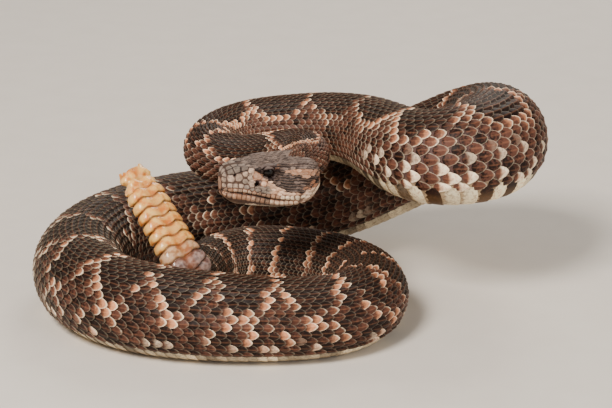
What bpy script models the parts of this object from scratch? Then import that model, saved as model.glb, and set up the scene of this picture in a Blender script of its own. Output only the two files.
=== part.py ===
"""A southern pacific rattlesnake at rest: lower coil on the floor, upper loop raised, head facing left.

Life size, in metres, +Z up. The origin is on the floor under the middle of the animal, +X runs along
its greatest width and the head looks towards -X. The body is one tube along a smooth route, parted
into lengths that meet face to face.
"""

import math

import bmesh
import bpy
import numpy as np
from mathutils import Matrix, Vector

MM = 0.001
GAP = 0.3 * MM

# The route of the body from inside the skull to the end of the tail. Each waypoint gives, in
# millimetres, its place seen from above, how high the belly is there and the radius of the body,
# and last how far the body is rolled about its own length, in degrees.
ROUTE = (
    ("skull", -8.0, -25.2, 57.8, 5.0, 0),
    ("occiput", 2.3, -21.8, 56.4, 6.6, 0),
    ("nape", 7.8, -16.5, 56.8, 7.3, 5),
    ("neck_side", 10.5, -8.0, 58.2, 7.5, 12),
    ("neck_top", 4.5, 2.8, 57.0, 8.0, 20),
    ("neck", -16.5, 2.4, 50.0, 9.7, 27),
    ("left_turn", -32.5, 11.0, 49.0, 10.8, 18),
    ("left_out", -26.5, 27.0, 50.0, 11.8, 8),
    ("band_left", -6.0, 32.0, 51.5, 12.8, 4),
    ("band_right", 17.0, 30.0, 51.0, 14.2, 4),
    ("bend", 34.0, 21.0, 49.0, 15.8, 8),
    ("front_left", 46.5, 5.0, 44.6, 18.2, 14),
    ("front_mid", 60.5, -6.0, 43.0, 20.5, 17),
    ("front_right", 75.5, -1.0, 43.0, 21.6, 17),
    ("right_turn", 84.5, 18.0, 43.4, 21.8, 12),
    ("loop_back", 78.5, 38.0, 38.5, 21.2, 6),
    ("descent_top", 62.0, 48.5, 29.0, 20.8, 0),
    ("descent", 42.0, 53.0, 18.0, 20.6, 0),
    ("landing", 20.0, 54.5, 8.0, 20.4, 0),
    ("back_right", -12.0, 53.5, 0.8, 20.0, 0),
    ("back_left", -43.0, 46.0, 0.0, 19.6, 0),
    ("left_back", -71.0, 28.0, 0.0, 19.2, 0),
    ("left_most", -84.5, -5.0, 0.0, 18.6, 0),
    ("left_front", -70.0, -40.0, 0.0, 18.0, 0),
    ("front_coil_left", -35.0, -56.0, 0.0, 17.4, 0),
    ("front_coil", -2.0, -57.5, 0.0, 16.3, 0),
    ("front_coil_right", 21.5, -50.5, 0.0, 15.7, 0),
    ("right_most", 33.0, -28.0, 0.0, 15.2, 0),
    ("right_back", 22.0, -2.5, 0.0, 14.4, 0),
    ("tail_strand", -1.0, 12.0, 0.0, 13.6, 0),
    ("tail_strand_left", -20.0, 15.5, 0.0, 12.7, 0),
    ("vent", -32.5, 8.0, 0.4, 11.7, 0),
    ("tail_turn", -36.0, -1.5, 2.0, 10.6, 6),
    ("tail_rise", -37.6, -13.5, 4.2, 9.4, 16),
    ("tail_end", -38.6, -20.5, 11.5, 8.4, 24),
)

# The middle of the animal's box, in millimetres in the plan that the waypoints are given in.
PLAN_MIDDLE = (0.9, 0.2)

# Where the body is parted: each length runs from the cut before it to its own waypoint.
LENGTHS = (
    ("neck_turn", "neck_top"),
    ("neck", "left_turn"),
    ("upper_band_left", "band_left"),
    ("upper_band_right", "bend"),
    ("front_loop_left", "front_mid"),
    ("front_loop_right", "right_turn"),
    ("back_loop", "descent_top"),
    ("descent", "landing"),
    ("back_strand", "back_left"),
    ("coil_left_back", "left_most"),
    ("coil_left_front", "front_coil_left"),
    ("coil_front", "front_coil_right"),
    ("coil_right", "right_back"),
    ("tail_strand", "vent"),
    ("tail", "tail_end"),
)
RAISED_LENGTHS = 8

# The tube of the body.
SIDES = 20
BELLY = 0.9
RING_STEP = 6.0 * MM
SAMPLES_PER_MM = 4
SOFTENED_OVER = 6 * MM
TAIL_FLATTENED = 0.72
TAIL_FLATTENED_OVER = 22 * MM
INSIDE_OF_BEND = 0.86
SCUTE_PITCH = 5.5 * MM
SCUTE_LIFT = 0.5 * MM
SCUTE_EDGE = 0.5 * MM

# The head, measured in millimetres back from the tip of the snout, and across and up from the
# skull's axis. The columns are: distance back, half width and height of the crown's edge, rise of
# its middle, half width at the eye's level, half width of the upper lip, height of the mouth line,
# half width of the lower jaw and height of its underside.
HEAD = (
    (0.0, 2.6, 2.6, 0.5, 2.9, 3.1, -4.2, 2.4, -6.2),
    (0.8, 4.0, 4.0, 0.5, 4.2, 4.5, -4.2, 3.8, -7.2),
    (2.5, 5.0, 4.9, 0.5, 5.2, 5.8, -4.2, 5.0, -8.4),
    (6.0, 5.8, 5.6, 0.4, 6.2, 7.0, -4.4, 6.2, -9.7),
    (10.0, 6.8, 5.9, 0.3, 7.0, 8.1, -5.1, 7.2, -10.5),
    (14.0, 8.1, 6.1, 0.1, 7.8, 9.2, -6.1, 8.2, -10.9),
    (17.0, 8.9, 6.4, 0.0, 8.2, 10.2, -6.8, 9.2, -11.1),
    (20.0, 9.0, 6.4, 0.1, 9.0, 11.4, -7.2, 10.4, -11.2),
    (24.0, 9.0, 6.3, 0.3, 10.9, 13.2, -7.2, 12.2, -10.8),
    (28.0, 9.3, 6.2, 0.4, 12.4, 14.6, -6.5, 13.3, -10.0),
    (31.5, 9.4, 6.1, 0.3, 12.6, 14.6, -5.4, 13.2, -8.7),
    (34.5, 8.6, 5.7, 0.2, 11.2, 13.0, -4.2, 11.6, -6.6),
    (37.0, 6.4, 4.6, 0.1, 8.2, 9.4, -2.8, 8.2, -4.4),
    (38.2, 3.8, 3.0, 0.0, 4.6, 5.0, -1.6, 4.6, -2.6),
)
HEAD_RINGS = 34
SNOUT_TO_SKULL = 18.5
MOUTH_LENGTH = 27.0
MOUTH_DEPTH = 1.1
LIP_HEIGHT = 0.8

BROW_PLATE = {"back": 17.0, "out": 7.2, "up": 6.3, "length": 8.6, "width": 4.4, "thickness": 1.5}
EYE = {"back": 17.0, "out": 6.9, "up": 3.8, "radius": 2.5}
PIT = {"back": 12.3, "out": 8.5, "up": -1.3, "radius": 1.15}
NOSTRIL = {"back": 4.3, "out": 6.2, "up": 2.6, "radius": 0.75}

# The rattle: lobed segments that slip over one another, and a narrower broken one at its tip.
RATTLE_SEGMENTS = 9
RATTLE_PITCH = 4.6 * MM
RATTLE_WIDTH = 18.4 * MM
RATTLE_NARROWING = 0.014
RATTLE_THICKNESS = 0.54
RATTLE_GROOVE = 0.22
RATTLE_GROOVE_WIDTH = 0.3
RATTLE_SIDES = 24
RATTLE_PROFILE = ((0.0, 0.84), (0.22, 0.98), (0.55, 1.0), (0.9, 0.86))
RATTLE_AXIS = Vector((-0.50, 0.52, 0.70)).normalized()
RATTLE_ACROSS = Vector((0.79, 0.61, 0.06)).normalized()
RATTLE_TURN = 14 * MM
TIP_WIDTH = 0.7
TIP_PROFILE = ((0.05, 0.98), (0.4, 1.0), (0.95, 0.76), (1.45, 0.7), (1.95, 0.86))
BROKEN_EDGE = 1.1 * MM


def clear_scene():
    for obj in list(bpy.data.objects):
        bpy.data.objects.remove(obj, do_unlink=True)


def make_material(name, colour, roughness, coat=0.0):
    material = bpy.data.materials.new(name)
    material.use_nodes = True
    shader = material.node_tree.nodes["Principled BSDF"]
    shader.inputs["Base Color"].default_value = (*colour, 1.0)
    shader.inputs["Roughness"].default_value = roughness
    shader.inputs["Metallic"].default_value = 0.0
    shader.inputs["Coat Weight"].default_value = coat
    material.diffuse_color = (*colour, 1.0)
    return material


def natural_spline(knots, values):
    """The smoothest curve through the values at the knots, as a function of the knot parameter."""
    count = len(knots)
    steps = np.diff(knots)
    slopes = np.diff(values, axis=0) / steps[:, None]
    matrix = np.eye(count)
    right = np.zeros_like(values)
    for i in range(1, count - 1):
        matrix[i, i - 1 : i + 2] = steps[i - 1], 2 * (steps[i - 1] + steps[i]), steps[i]
        right[i] = 6 * (slopes[i] - slopes[i - 1])
    bends = np.linalg.solve(matrix, right)

    def at(where):
        i = np.clip(np.searchsorted(knots, where) - 1, 0, count - 2)
        step = steps[i][:, None]
        after = ((where - knots[i]) / steps[i])[:, None]
        before = 1 - after
        line = before * values[i] + after * values[i + 1]
        bow = (before**3 - before) * bends[i] + (after**3 - after) * bends[i + 1]
        return line + bow * step**2 / 6

    return at


def steady_curve(knots, values):
    """A smooth curve through the values at the knots that never passes beyond two neighbours."""
    steps = np.diff(knots)
    slopes = np.diff(values, axis=0) / steps[:, None]
    tangents = np.zeros_like(values)
    before = slopes[:-1]
    after = slopes[1:]
    same_way = before * after > 0
    total = np.where(same_way, before + after, 1.0)
    tangents[1:-1] = np.where(same_way, 2 * before * after / total, 0.0)
    tangents[0] = slopes[0]
    tangents[-1] = slopes[-1]

    def at(where):
        i = np.clip(np.searchsorted(knots, where) - 1, 0, len(knots) - 2)
        step = steps[i][:, None]
        t = ((where - knots[i]) / steps[i])[:, None]
        start = (1 + 2 * t) * (1 - t) ** 2 * values[i] + t * (1 - t) ** 2 * step * tangents[i]
        end = t**2 * (3 - 2 * t) * values[i + 1] + t**2 * (t - 1) * step * tangents[i + 1]
        return start + end

    return at


def soften(columns, width):
    """A running average over the samples, with a bell of the given width, held at both ends."""
    reach = np.arange(-3 * width, 3 * width + 1)
    bell = np.exp(-0.5 * (reach / width) ** 2)
    bell /= bell.sum()
    softened = []
    for column in columns.T:
        before = 2 * column[0] - column[3 * width : 0 : -1]
        after = 2 * column[-1] - column[-2 : -3 * width - 2 : -1]
        softened.append(np.convolve(np.concatenate([before, column, after]), bell, "valid"))
    return np.array(softened).T


class Route:
    """The centreline of the body, read by the distance from its first waypoint."""

    def __init__(self, waypoints):
        self.names = [row[0] for row in waypoints]
        rows = np.array([row[1:] for row in waypoints], float)
        rows[:, :2] -= PLAN_MIDDLE
        rows[:, :4] *= MM
        plan = rows[:, :2]
        knots = np.concatenate([[0.0], np.cumsum(np.linalg.norm(np.diff(plan, axis=0), axis=1))])
        fine = np.linspace(0.0, knots[-1], int(knots[-1] / MM * SAMPLES_PER_MM))
        width = round(SOFTENED_OVER / MM * SAMPLES_PER_MM)
        across = soften(natural_spline(knots, plan)(fine), width)
        lift, radius, roll = soften(steady_curve(knots, rows[:, 2:])(fine), width).T
        points = np.column_stack([across, lift + BELLY * radius])
        arc = np.concatenate([[0.0], np.cumsum(np.linalg.norm(np.diff(points, axis=0), axis=1))])
        self.cuts = dict(zip(self.names, np.interp(knots, fine, arc)))
        self.length = arc[-1]
        self.where = np.linspace(0.0, arc[-1], len(fine))
        columns = np.column_stack([points, lift, radius, np.radians(roll)])
        self.table = np.column_stack([np.interp(self.where, arc, column) for column in columns.T])
        tangents = np.gradient(self.table[:, :3], self.where, axis=0)
        self.tangents = tangents / np.linalg.norm(tangents, axis=1)[:, None]
        self.curvature = soften(np.gradient(self.tangents, self.where, axis=0), width)

    def read(self, table, distance):
        return np.array([np.interp(distance, self.where, column) for column in table.T])

    def frame(self, distance):
        """Centre, direction to the tail, side and up of the body, its radius, lift and curvature."""
        x, y, z, lift, radius, roll = self.read(self.table, distance)
        ahead = Vector(self.read(self.tangents, distance)).normalized()
        level_up = (Vector((0, 0, 1)) - ahead * ahead.z).normalized()
        level_side = ahead.cross(level_up)
        up = level_up * math.cos(roll) - level_side * math.sin(roll)
        side = level_side * math.cos(roll) + level_up * math.sin(roll)
        curvature = Vector(self.read(self.curvature, distance))
        return Vector((x, y, z)), ahead, side, up, radius, lift, curvature


def ease_inside(offset, curvature):
    """Presses the inside of a tight bend together, so that neighbouring rings never cross."""
    if curvature.length < 1e-6:
        return offset
    inward = curvature.normalized()
    limit = INSIDE_OF_BEND / curvature.length
    reach = offset.dot(inward)
    free = 0.6 * limit
    if reach <= free:
        return offset
    room = limit - free
    pressed = free + room * (1 - math.exp(-(reach - free) / room))
    return offset + inward * (pressed - reach)


def body_ring(route, distance, shift=0.0, scute=0.0):
    """One ring round the body. Its belly is flat, and scute is how far a belly plate stands out."""
    centre, ahead, side, up, radius, lift, curvature = route.frame(distance)
    from_end = route.length - distance
    width = 1.0
    if from_end < TAIL_FLATTENED_OVER:
        width = TAIL_FLATTENED + (1 - TAIL_FLATTENED) * from_end / TAIL_FLATTENED_OVER
    curvature = curvature - ahead * curvature.dot(ahead)
    ring = []
    for k in range(SIDES):
        angle = 2 * math.pi * k / SIDES
        under = max(0.0, min(1.0, (-math.cos(angle) - 0.7) / 0.2))
        reach = radius + scute * under
        offset = side * (math.sin(angle) * reach * width)
        offset += up * max(math.cos(angle), -BELLY) * reach
        point = centre + ahead * shift + ease_inside(offset, curvature)
        if lift < 1e-7 and -math.cos(angle) > BELLY:
            point.z = 0.0
        ring.append(point)
    return ring


def loft(name, rings, first_tip=None, last_tip=None):
    """A closed mesh through rings of equal count, capped flat or drawn in to a tip."""
    mesh = bmesh.new()
    rows = [[mesh.verts.new(point) for point in ring] for ring in rings]
    count = len(rows[0])
    for row, following in zip(rows, rows[1:]):
        for k in range(count):
            after = (k + 1) % count
            mesh.faces.new((row[k], row[after], following[after], following[k]))
    for row, tip, turned in ((rows[0], first_tip, True), (rows[-1], last_tip, False)):
        if tip is None:
            mesh.faces.new(row[::-1] if turned else row)
            continue
        point = mesh.verts.new(tip)
        for k in range(count):
            mesh.faces.new((row[k], row[(k + 1) % count], point))
    bmesh.ops.recalc_face_normals(mesh, faces=mesh.faces)
    data = bpy.data.meshes.new(name)
    mesh.to_mesh(data)
    mesh.free()
    obj = bpy.data.objects.new(name, data)
    bpy.context.scene.collection.objects.link(obj)
    return obj


def finish(obj, material):
    obj.data.materials.clear()
    obj.data.materials.append(material)
    obj.data.shade_smooth()
    obj.data.set_sharp_from_angle(angle=math.radians(50))


def ring_places(start, end, raised):
    """Where the rings of a length go, and how far the belly plates stand out at each."""
    places = []
    if raised:
        count = max(2, round((end - start) / SCUTE_PITCH))
        pitch = (end - start) / count
        for i in range(count):
            places.append((start + i * pitch, 0.0))
            places.append((start + (i + 1) * pitch - SCUTE_EDGE, SCUTE_LIFT))
    else:
        count = max(2, round((end - start) / RING_STEP))
        for i in range(count):
            places.append((start + (end - start) * i / count, 0.0))
    places.append((end, 0.0))
    return places


def body_rings(route, start, end, raised):
    """The rings of one length. The end rings lie half a gap inside the two cuts."""
    places = ring_places(start, end, raised)
    rings = [body_ring(route, places[0][0], GAP / 2)]
    for distance, scute in places[1:-1]:
        rings.append(body_ring(route, distance, scute=scute))
    rings.append(body_ring(route, places[-1][0], -GAP / 2))
    return rings


def build_body(route, colours):
    start = route.cuts["neck_side"]
    for index, (name, waypoint) in enumerate(LENGTHS):
        end = route.cuts[waypoint]
        obj = loft(name, body_rings(route, start, end, index < RAISED_LENGTHS))
        finish(obj, make_material(name + "_skin", colours[index], 0.55))
        start = end


def boolean(target, others, operation):
    """Joins the other closed meshes to the target, or cuts them from it, and removes them."""
    pieces = bpy.data.collections.new("pieces")
    for other in others:
        pieces.objects.link(other)
    modifier = target.modifiers.new("boolean", "BOOLEAN")
    modifier.operation = operation
    modifier.operand_type = "COLLECTION"
    modifier.collection = pieces
    modifier.solver = "EXACT"
    bpy.context.view_layer.update()
    graph = bpy.context.evaluated_depsgraph_get()
    joined = bpy.data.meshes.new_from_object(target.evaluated_get(graph))
    target.modifiers.remove(modifier)
    target.data = joined
    for other in others:
        bpy.data.objects.remove(other, do_unlink=True)
    bpy.data.collections.remove(pieces)


def keep_largest(obj):
    """Keeps the largest closed surface of a mesh and drops degenerate edges."""
    mesh = bmesh.new()
    mesh.from_mesh(obj.data)
    bmesh.ops.remove_doubles(mesh, verts=mesh.verts, dist=0.01 * MM)
    bmesh.ops.dissolve_degenerate(mesh, edges=mesh.edges, dist=0.01 * MM)
    bmesh.ops.triangulate(mesh, faces=mesh.faces)
    left = set(mesh.verts)
    groups = []
    while left:
        seed = left.pop()
        group = {seed}
        front = [seed]
        while front:
            for edge in front.pop().link_edges:
                for vertex in edge.verts:
                    if vertex in left:
                        left.discard(vertex)
                        group.add(vertex)
                        front.append(vertex)
        groups.append(group)
    largest = max(groups, key=len)
    bmesh.ops.delete(mesh, geom=[v for v in mesh.verts if v not in largest], context="VERTS")
    bmesh.ops.recalc_face_normals(mesh, faces=mesh.faces)
    mesh.to_mesh(obj.data)
    mesh.free()


class Skull:
    """The head's own axes: back from the snout, out to one side and up."""

    def __init__(self, route):
        start = route.frame(0.0)
        self.back = start[1]
        self.out = start[2]
        self.up = start[3]
        self.snout = start[0] - self.back * SNOUT_TO_SKULL * MM

    def point(self, back, out, up):
        return self.snout + (self.back * back + self.out * out + self.up * up) * MM

    def matrix(self, back, out, up):
        axes = Matrix((self.back, -self.out, self.up)).transposed().to_4x4()
        return Matrix.Translation(self.point(back, out, up)) @ axes


def head_half(crown, crown_up, rise, eye_level, lip, mouth, jaw, under, groove):
    """Half of one section of the head, from the middle of the crown down to that of the jaw."""
    return (
        (0.0, crown_up + rise),
        (0.5 * crown, crown_up + 0.8 * rise),
        (0.86 * crown, crown_up + 0.1),
        (crown, crown_up - 0.7),
        (0.4 * crown + 0.6 * eye_level, 0.72 * crown_up - 0.2),
        (eye_level, 0.3 * crown_up),
        (0.5 * (eye_level + lip), -0.1 * crown_up),
        (lip, mouth + 0.42 * (crown_up - mouth) * 0.5),
        (lip - 0.15, mouth + LIP_HEIGHT),
        (lip - 0.3 - groove, mouth),
        (jaw + 0.7, mouth - LIP_HEIGHT),
        (jaw + 0.3, mouth + 0.5 * (under - mouth)),
        (0.78 * jaw, under + 0.12 * (mouth - under)),
        (0.42 * jaw, under),
        (0.0, under),
    )


def build_head(route, material):
    skull = Skull(route)
    table = np.array(HEAD)
    backs = np.linspace(0.0, 1.0, HEAD_RINGS) ** 1.15 * table[-1, 0]
    columns = steady_curve(table[:, 0], table[:, 1:])(backs)
    rings = []
    for back, row in zip(backs, columns):
        fade = max(0.0, min(1.0, (MOUTH_LENGTH - back) / 4.0))
        half = head_half(*row, MOUTH_DEPTH * fade)
        whole = list(half) + [(-out, up) for out, up in half[-2:0:-1]]
        rings.append([skull.point(back, out, up) for out, up in whole])
    head = loft("head", rings)
    nape_end = route.cuts["neck_side"]
    count = round(nape_end / (4 * MM))
    nape = [body_ring(route, nape_end * i / count) for i in range(count)]
    nape.append(body_ring(route, nape_end, -GAP / 2))
    pieces = [loft("nape", nape)]
    for side in (1, -1):
        pieces.append(brow_plate(skull, side))
    boolean(head, pieces, "UNION")
    cutters = []
    for side in (1, -1):
        cutters.append(ball(skull, EYE, side, GAP / MM))
        cutters.append(ball(skull, PIT, side, 0.0))
        cutters.append(ball(skull, NOSTRIL, side, 0.0))
    boolean(head, cutters, "DIFFERENCE")
    keep_largest(head)
    finish(head, material)
    return skull


def brow_plate(skull, side):
    """The raised plate over one eye."""
    mesh = bmesh.new()
    bmesh.ops.create_uvsphere(mesh, u_segments=16, v_segments=8, radius=0.5 * MM)
    size = (BROW_PLATE["length"], BROW_PLATE["width"], BROW_PLATE["thickness"])
    tilt = Matrix.Rotation(math.radians(14 * side), 4, "X")
    turn = Matrix.Rotation(math.radians(-9 * side), 4, "Z")
    place = skull.matrix(BROW_PLATE["back"], side * BROW_PLATE["out"], BROW_PLATE["up"])
    mesh.transform(place @ turn @ tilt @ Matrix.Diagonal((*size, 1.0)))
    return mesh_object("brow_plate", mesh)


def ball(skull, spec, side, extra):
    """A ball at a named place on one side of the head, larger by extra millimetres."""
    mesh = bmesh.new()
    bmesh.ops.create_icosphere(mesh, subdivisions=2, radius=(spec["radius"] + extra) * MM)
    mesh.transform(skull.matrix(spec["back"], side * spec["out"], spec["up"]))
    return mesh_object("ball", mesh)


def mesh_object(name, mesh):
    bmesh.ops.recalc_face_normals(mesh, faces=mesh.faces)
    data = bpy.data.meshes.new(name)
    mesh.to_mesh(data)
    mesh.free()
    obj = bpy.data.objects.new(name, data)
    bpy.context.scene.collection.objects.link(obj)
    return obj


def build_eyes(skull):
    material = make_material("dark_eye", (0.02, 0.015, 0.012), 0.08, coat=1.0)
    for name, side in (("eye_near", 1), ("eye_far", -1)):
        eye = ball(skull, EYE, side, 0.0)
        eye.name = name
        eye.data.name = name
        finish(eye, material)


def rattle_ring(centre, axis, across, width, ragged=0.0):
    """A two lobed section: flattened, with a groove down the middle of both broad faces."""
    thin = axis.cross(across)
    ring = []
    for k in range(RATTLE_SIDES):
        angle = 2 * math.pi * k / RATTLE_SIDES
        wide = math.copysign(abs(math.cos(angle)) ** 0.8, math.cos(angle))
        deep = math.copysign(abs(math.sin(angle)) ** 0.7, math.sin(angle))
        deep *= 1 - RATTLE_GROOVE * math.exp(-((wide / RATTLE_GROOVE_WIDTH) ** 2))
        point = centre + across * (0.5 * width * wide)
        point += thin * (0.5 * width * RATTLE_THICKNESS * deep)
        point += axis * ragged * math.sin(5 * angle) * math.cos(2 * angle + 1)
        ring.append(point)
    return ring


def rattle_stations():
    """Distance from the tail and width of every ring of the rattle."""
    stations = [(0.0, 0.8 * RATTLE_WIDTH)]
    for i in range(RATTLE_SEGMENTS):
        width = RATTLE_WIDTH * (1 - RATTLE_NARROWING * i)
        for along, size in RATTLE_PROFILE:
            stations.append(((i + 0.25 + along) * RATTLE_PITCH, width * size))
    for along, size in TIP_PROFILE:
        distance = (RATTLE_SEGMENTS + 0.25 + along) * RATTLE_PITCH
        stations.append((distance, RATTLE_WIDTH * TIP_WIDTH * size))
    return stations


def build_rattle(route):
    """The rattle bends up out of the end of the tail, then runs straight to its broken tip."""
    end, ahead, _, _, _, _, _ = route.frame(route.length)
    centre = end + ahead * GAP / 2
    reached = 0.0
    rings = []
    stations = rattle_stations()
    for distance, width in stations:
        steps = 6
        for i in range(steps):
            middle = reached + (distance - reached) * (i + 0.5) / steps
            centre = centre + rattle_axis(ahead, middle) * (distance - reached) / steps
        reached = distance
        axis = rattle_axis(ahead, distance)
        across = (RATTLE_ACROSS - axis * RATTLE_ACROSS.dot(axis)).normalized()
        ragged = BROKEN_EDGE if distance == stations[-1][0] else 0.0
        rings.append(rattle_ring(centre, axis, across, width, ragged))
    hollow = centre - RATTLE_AXIS * BROKEN_EDGE
    rattle = loft("rattle", rings, last_tip=hollow)
    finish(rattle, make_material("rattle_horn", (0.55, 0.42, 0.27), 0.35, coat=0.3))


def rattle_axis(ahead, distance):
    """The rattle's direction, which turns from that of the tail to its own."""
    turned = min(1.0, distance / RATTLE_TURN)
    turned = turned * turned * (3 - 2 * turned)
    return ahead.slerp(RATTLE_AXIS, turned)


def main():
    clear_scene()
    route = Route(ROUTE)
    dark = (0.075, 0.055, 0.045)
    brown = (0.16, 0.105, 0.075)
    warm = (0.22, 0.14, 0.095)
    colours = (brown, dark, brown, brown, warm, warm, brown, dark)
    colours += (dark, dark, dark, brown, dark, brown, dark)
    skull = build_head(route, make_material("head_skin", (0.25, 0.2, 0.17), 0.5))
    build_eyes(skull)
    build_body(route, colours)
    build_rattle(route)


main()
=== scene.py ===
"""A life-size southern pacific rattlesnake at rest: skin, scales, head, eyes and rattle."""

import math

import bpy
import numpy as np
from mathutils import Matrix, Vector
from mathutils.bvhtree import BVHTree
from mathutils.kdtree import KDTree


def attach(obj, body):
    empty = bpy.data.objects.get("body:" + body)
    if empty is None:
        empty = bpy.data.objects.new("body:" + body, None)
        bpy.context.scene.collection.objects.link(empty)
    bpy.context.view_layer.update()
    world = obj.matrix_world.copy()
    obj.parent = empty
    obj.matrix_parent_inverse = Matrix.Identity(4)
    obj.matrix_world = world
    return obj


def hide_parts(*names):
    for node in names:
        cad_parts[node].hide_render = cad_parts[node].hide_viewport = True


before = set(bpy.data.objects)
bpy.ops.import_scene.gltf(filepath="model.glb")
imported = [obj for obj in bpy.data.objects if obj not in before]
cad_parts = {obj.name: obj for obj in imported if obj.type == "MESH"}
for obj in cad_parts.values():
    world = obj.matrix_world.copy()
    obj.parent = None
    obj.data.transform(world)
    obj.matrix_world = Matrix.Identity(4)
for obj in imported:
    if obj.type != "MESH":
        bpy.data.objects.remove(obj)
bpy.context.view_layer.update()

# The skin
# The skin is one tube of soft leather from the lips to the first ring of the rattle. It lies
# just inside the body's outline and shows between the scales: nearly black on the back, and
# lilac grey where a bend stretches it.
MM = 0.001
# The body's waypoints in millimetres: place on the floor's plan, height of the underside and
# radius, and the roll in degrees.
ROUTE = (
    # the back of the skull, the nape and the fold of the neck
    (-8.0, -25.2, 57.8, 5.0, 0),
    (2.3, -21.8, 56.4, 6.6, 0),
    (7.8, -16.5, 56.8, 7.3, 5),
    (10.5, -8.0, 58.2, 7.5, 12),
    (4.5, 2.8, 57.0, 8.0, 20),
    (-16.5, 2.4, 50.0, 9.7, 27),
    (-32.5, 11.0, 49.0, 10.8, 18),
    (-26.5, 27.0, 50.0, 11.8, 8),
    # the upper band and the raised loop
    (-6.0, 32.0, 51.5, 12.8, 4),
    (17.0, 30.0, 51.0, 14.2, 4),
    (34.0, 21.0, 49.0, 15.8, 8),
    (46.5, 5.0, 44.6, 18.2, 14),
    (60.5, -6.0, 43.0, 20.5, 17),
    (75.5, -1.0, 43.0, 21.6, 17),
    (84.5, 18.0, 43.4, 21.8, 12),
    (78.5, 38.0, 38.5, 21.2, 6),
    # down to the lower coil and round it
    (62.0, 48.5, 29.0, 20.8, 0),
    (42.0, 53.0, 18.0, 20.6, 0),
    (20.0, 54.5, 8.0, 20.4, 0),
    (-12.0, 53.5, 0.8, 20.0, 0),
    (-43.0, 46.0, 0.0, 19.6, 0),
    (-71.0, 28.0, 0.0, 19.2, 0),
    (-84.5, -5.0, 0.0, 18.6, 0),
    (-70.0, -40.0, 0.0, 18.0, 0),
    (-35.0, -56.0, 0.0, 17.4, 0),
    (-2.0, -57.5, 0.0, 16.3, 0),
    (21.5, -50.5, 0.0, 15.7, 0),
    (33.0, -28.0, 0.0, 15.2, 0),
    (22.0, -2.5, 0.0, 14.4, 0),
    # the tail, up to the rattle
    (-1.0, 12.0, 0.0, 13.6, 0),
    (-20.0, 15.5, 0.0, 12.7, 0),
    (-32.5, 8.0, 0.4, 11.7, 0),
    (-36.0, -1.5, 2.0, 10.6, 6),
    (-37.6, -13.5, 4.2, 9.4, 16),
    (-38.6, -20.5, 11.5, 8.4, 24),
)
PLAN_MIDDLE = (0.9, 0.2)
SAMPLES_PER_MM = 4
SOFTENED_OVER = 6
# How low the flat belly lies and how round its corners are, in shares of the radius, how much
# the tail narrows before the rattle, and how near the middle of a bend the skin may come.
BELLY = 0.9
BELLY_CORNER = 0.04
TAIL_FLATTENED = 0.72
TAIL_FLATTENED_OVER = 22 * MM
INSIDE_OF_BEND = 0.86
PRESSED_FROM = 0.6
# How far the skin lies inside the outline, and its rings.
SKIN_DEPTH = 0.22 * MM
SKIN_DEPTH_GROWTH = 0.020
SKIN_FROM = 5 * MM
SKIN_RING_STEP = 1.1 * MM
SKIN_SIDES = 72

# The head's sections, in millimetres from the tip of the snout: distance back, half width and
# height of the crown's edge, rise of its middle, half width at the eye, half width of the upper
# lip, height of the mouth line, half width of the lower jaw and height of its underside.
HEAD = (
    (0.0, 2.6, 2.6, 0.5, 2.9, 3.1, -4.2, 2.4, -6.2),
    (0.8, 4.0, 4.0, 0.5, 4.2, 4.5, -4.2, 3.8, -7.2),
    (2.5, 5.0, 4.9, 0.5, 5.2, 5.8, -4.2, 5.0, -8.4),
    (6.0, 5.8, 5.6, 0.4, 6.2, 7.0, -4.4, 6.2, -9.7),
    (10.0, 6.8, 5.9, 0.3, 7.0, 8.1, -5.1, 7.2, -10.5),
    (14.0, 8.1, 6.1, 0.1, 7.8, 9.2, -6.1, 8.2, -10.9),
    (17.0, 8.9, 6.4, 0.0, 8.2, 10.2, -6.8, 9.2, -11.1),
    (20.0, 9.0, 6.4, 0.1, 9.0, 11.4, -7.2, 10.4, -11.2),
    (24.0, 9.0, 6.3, 0.3, 10.9, 13.2, -7.2, 12.2, -10.8),
    (28.0, 9.3, 6.2, 0.4, 12.4, 14.6, -6.5, 13.3, -10.0),
    (31.5, 9.4, 6.1, 0.3, 12.6, 14.6, -5.4, 13.2, -8.7),
    (34.5, 8.6, 5.7, 0.2, 11.2, 13.0, -4.2, 11.6, -6.6),
    (37.0, 6.4, 4.6, 0.1, 8.2, 9.4, -2.8, 8.2, -4.4),
    (38.2, 3.8, 3.0, 0.0, 4.6, 5.0, -1.6, 4.6, -2.6),
)
HEAD_LENGTH = HEAD[-1][0]
HEAD_ROWS = 28
HEAD_RINGS = 120
SIDES_A_ROW = 5
ROW_NUDGE = 0.05
SNOUT_TO_SKULL = 18.5
SNOUT_CAP = 0.6
SNOUT_MIDDLE = -1.9
HEAD_MIDDLE = -2.0
MOUTH_LENGTH = 27.0
MOUTH_DEPTH = 1.1
LIP_HEIGHT = 0.8
HEAD_SKIN_DEPTH = 0.2
# Hollows on both sides of the head, in its millimetres: place, depth, spread and raised rim.
EYE = {"back": 17.0, "out": 6.9, "up": 3.8, "depth": 1.1, "spread": 2.3, "rim": 0.35}
PIT = {"back": 12.3, "out": 8.5, "up": -1.3, "depth": 1.7, "spread": 0.95, "rim": 0.25}
NOSTRIL = {"back": 4.3, "out": 6.2, "up": 2.6, "depth": 1.0, "spread": 0.6, "rim": 0.15}


def unit(vectors):
    return vectors / (np.linalg.norm(vectors, axis=-1, keepdims=True) + 1e-12)


def dot(a, b):
    return (a * b).sum(axis=-1, keepdims=True)


def smooth_step(value, start, end):
    t = np.clip((value - start) / (end - start), 0.0, 1.0)
    return t * t * (3 - 2 * t)


def grid(first, second):
    """Every pairing of two lists of numbers, as two long lists."""
    first, second = np.meshgrid(first, second, indexing="ij")
    return first.ravel(), second.ravel()


def table(*values):
    """The values side by side, as the columns of one table."""
    return np.stack(np.broadcast_arrays(*values), axis=-1)


def length_along(points):
    """How far each point lies from the first, along the line through them."""
    steps = np.linalg.norm(np.diff(points, axis=0), axis=1)
    return np.concatenate([[0.0], np.cumsum(steps)])


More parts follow.
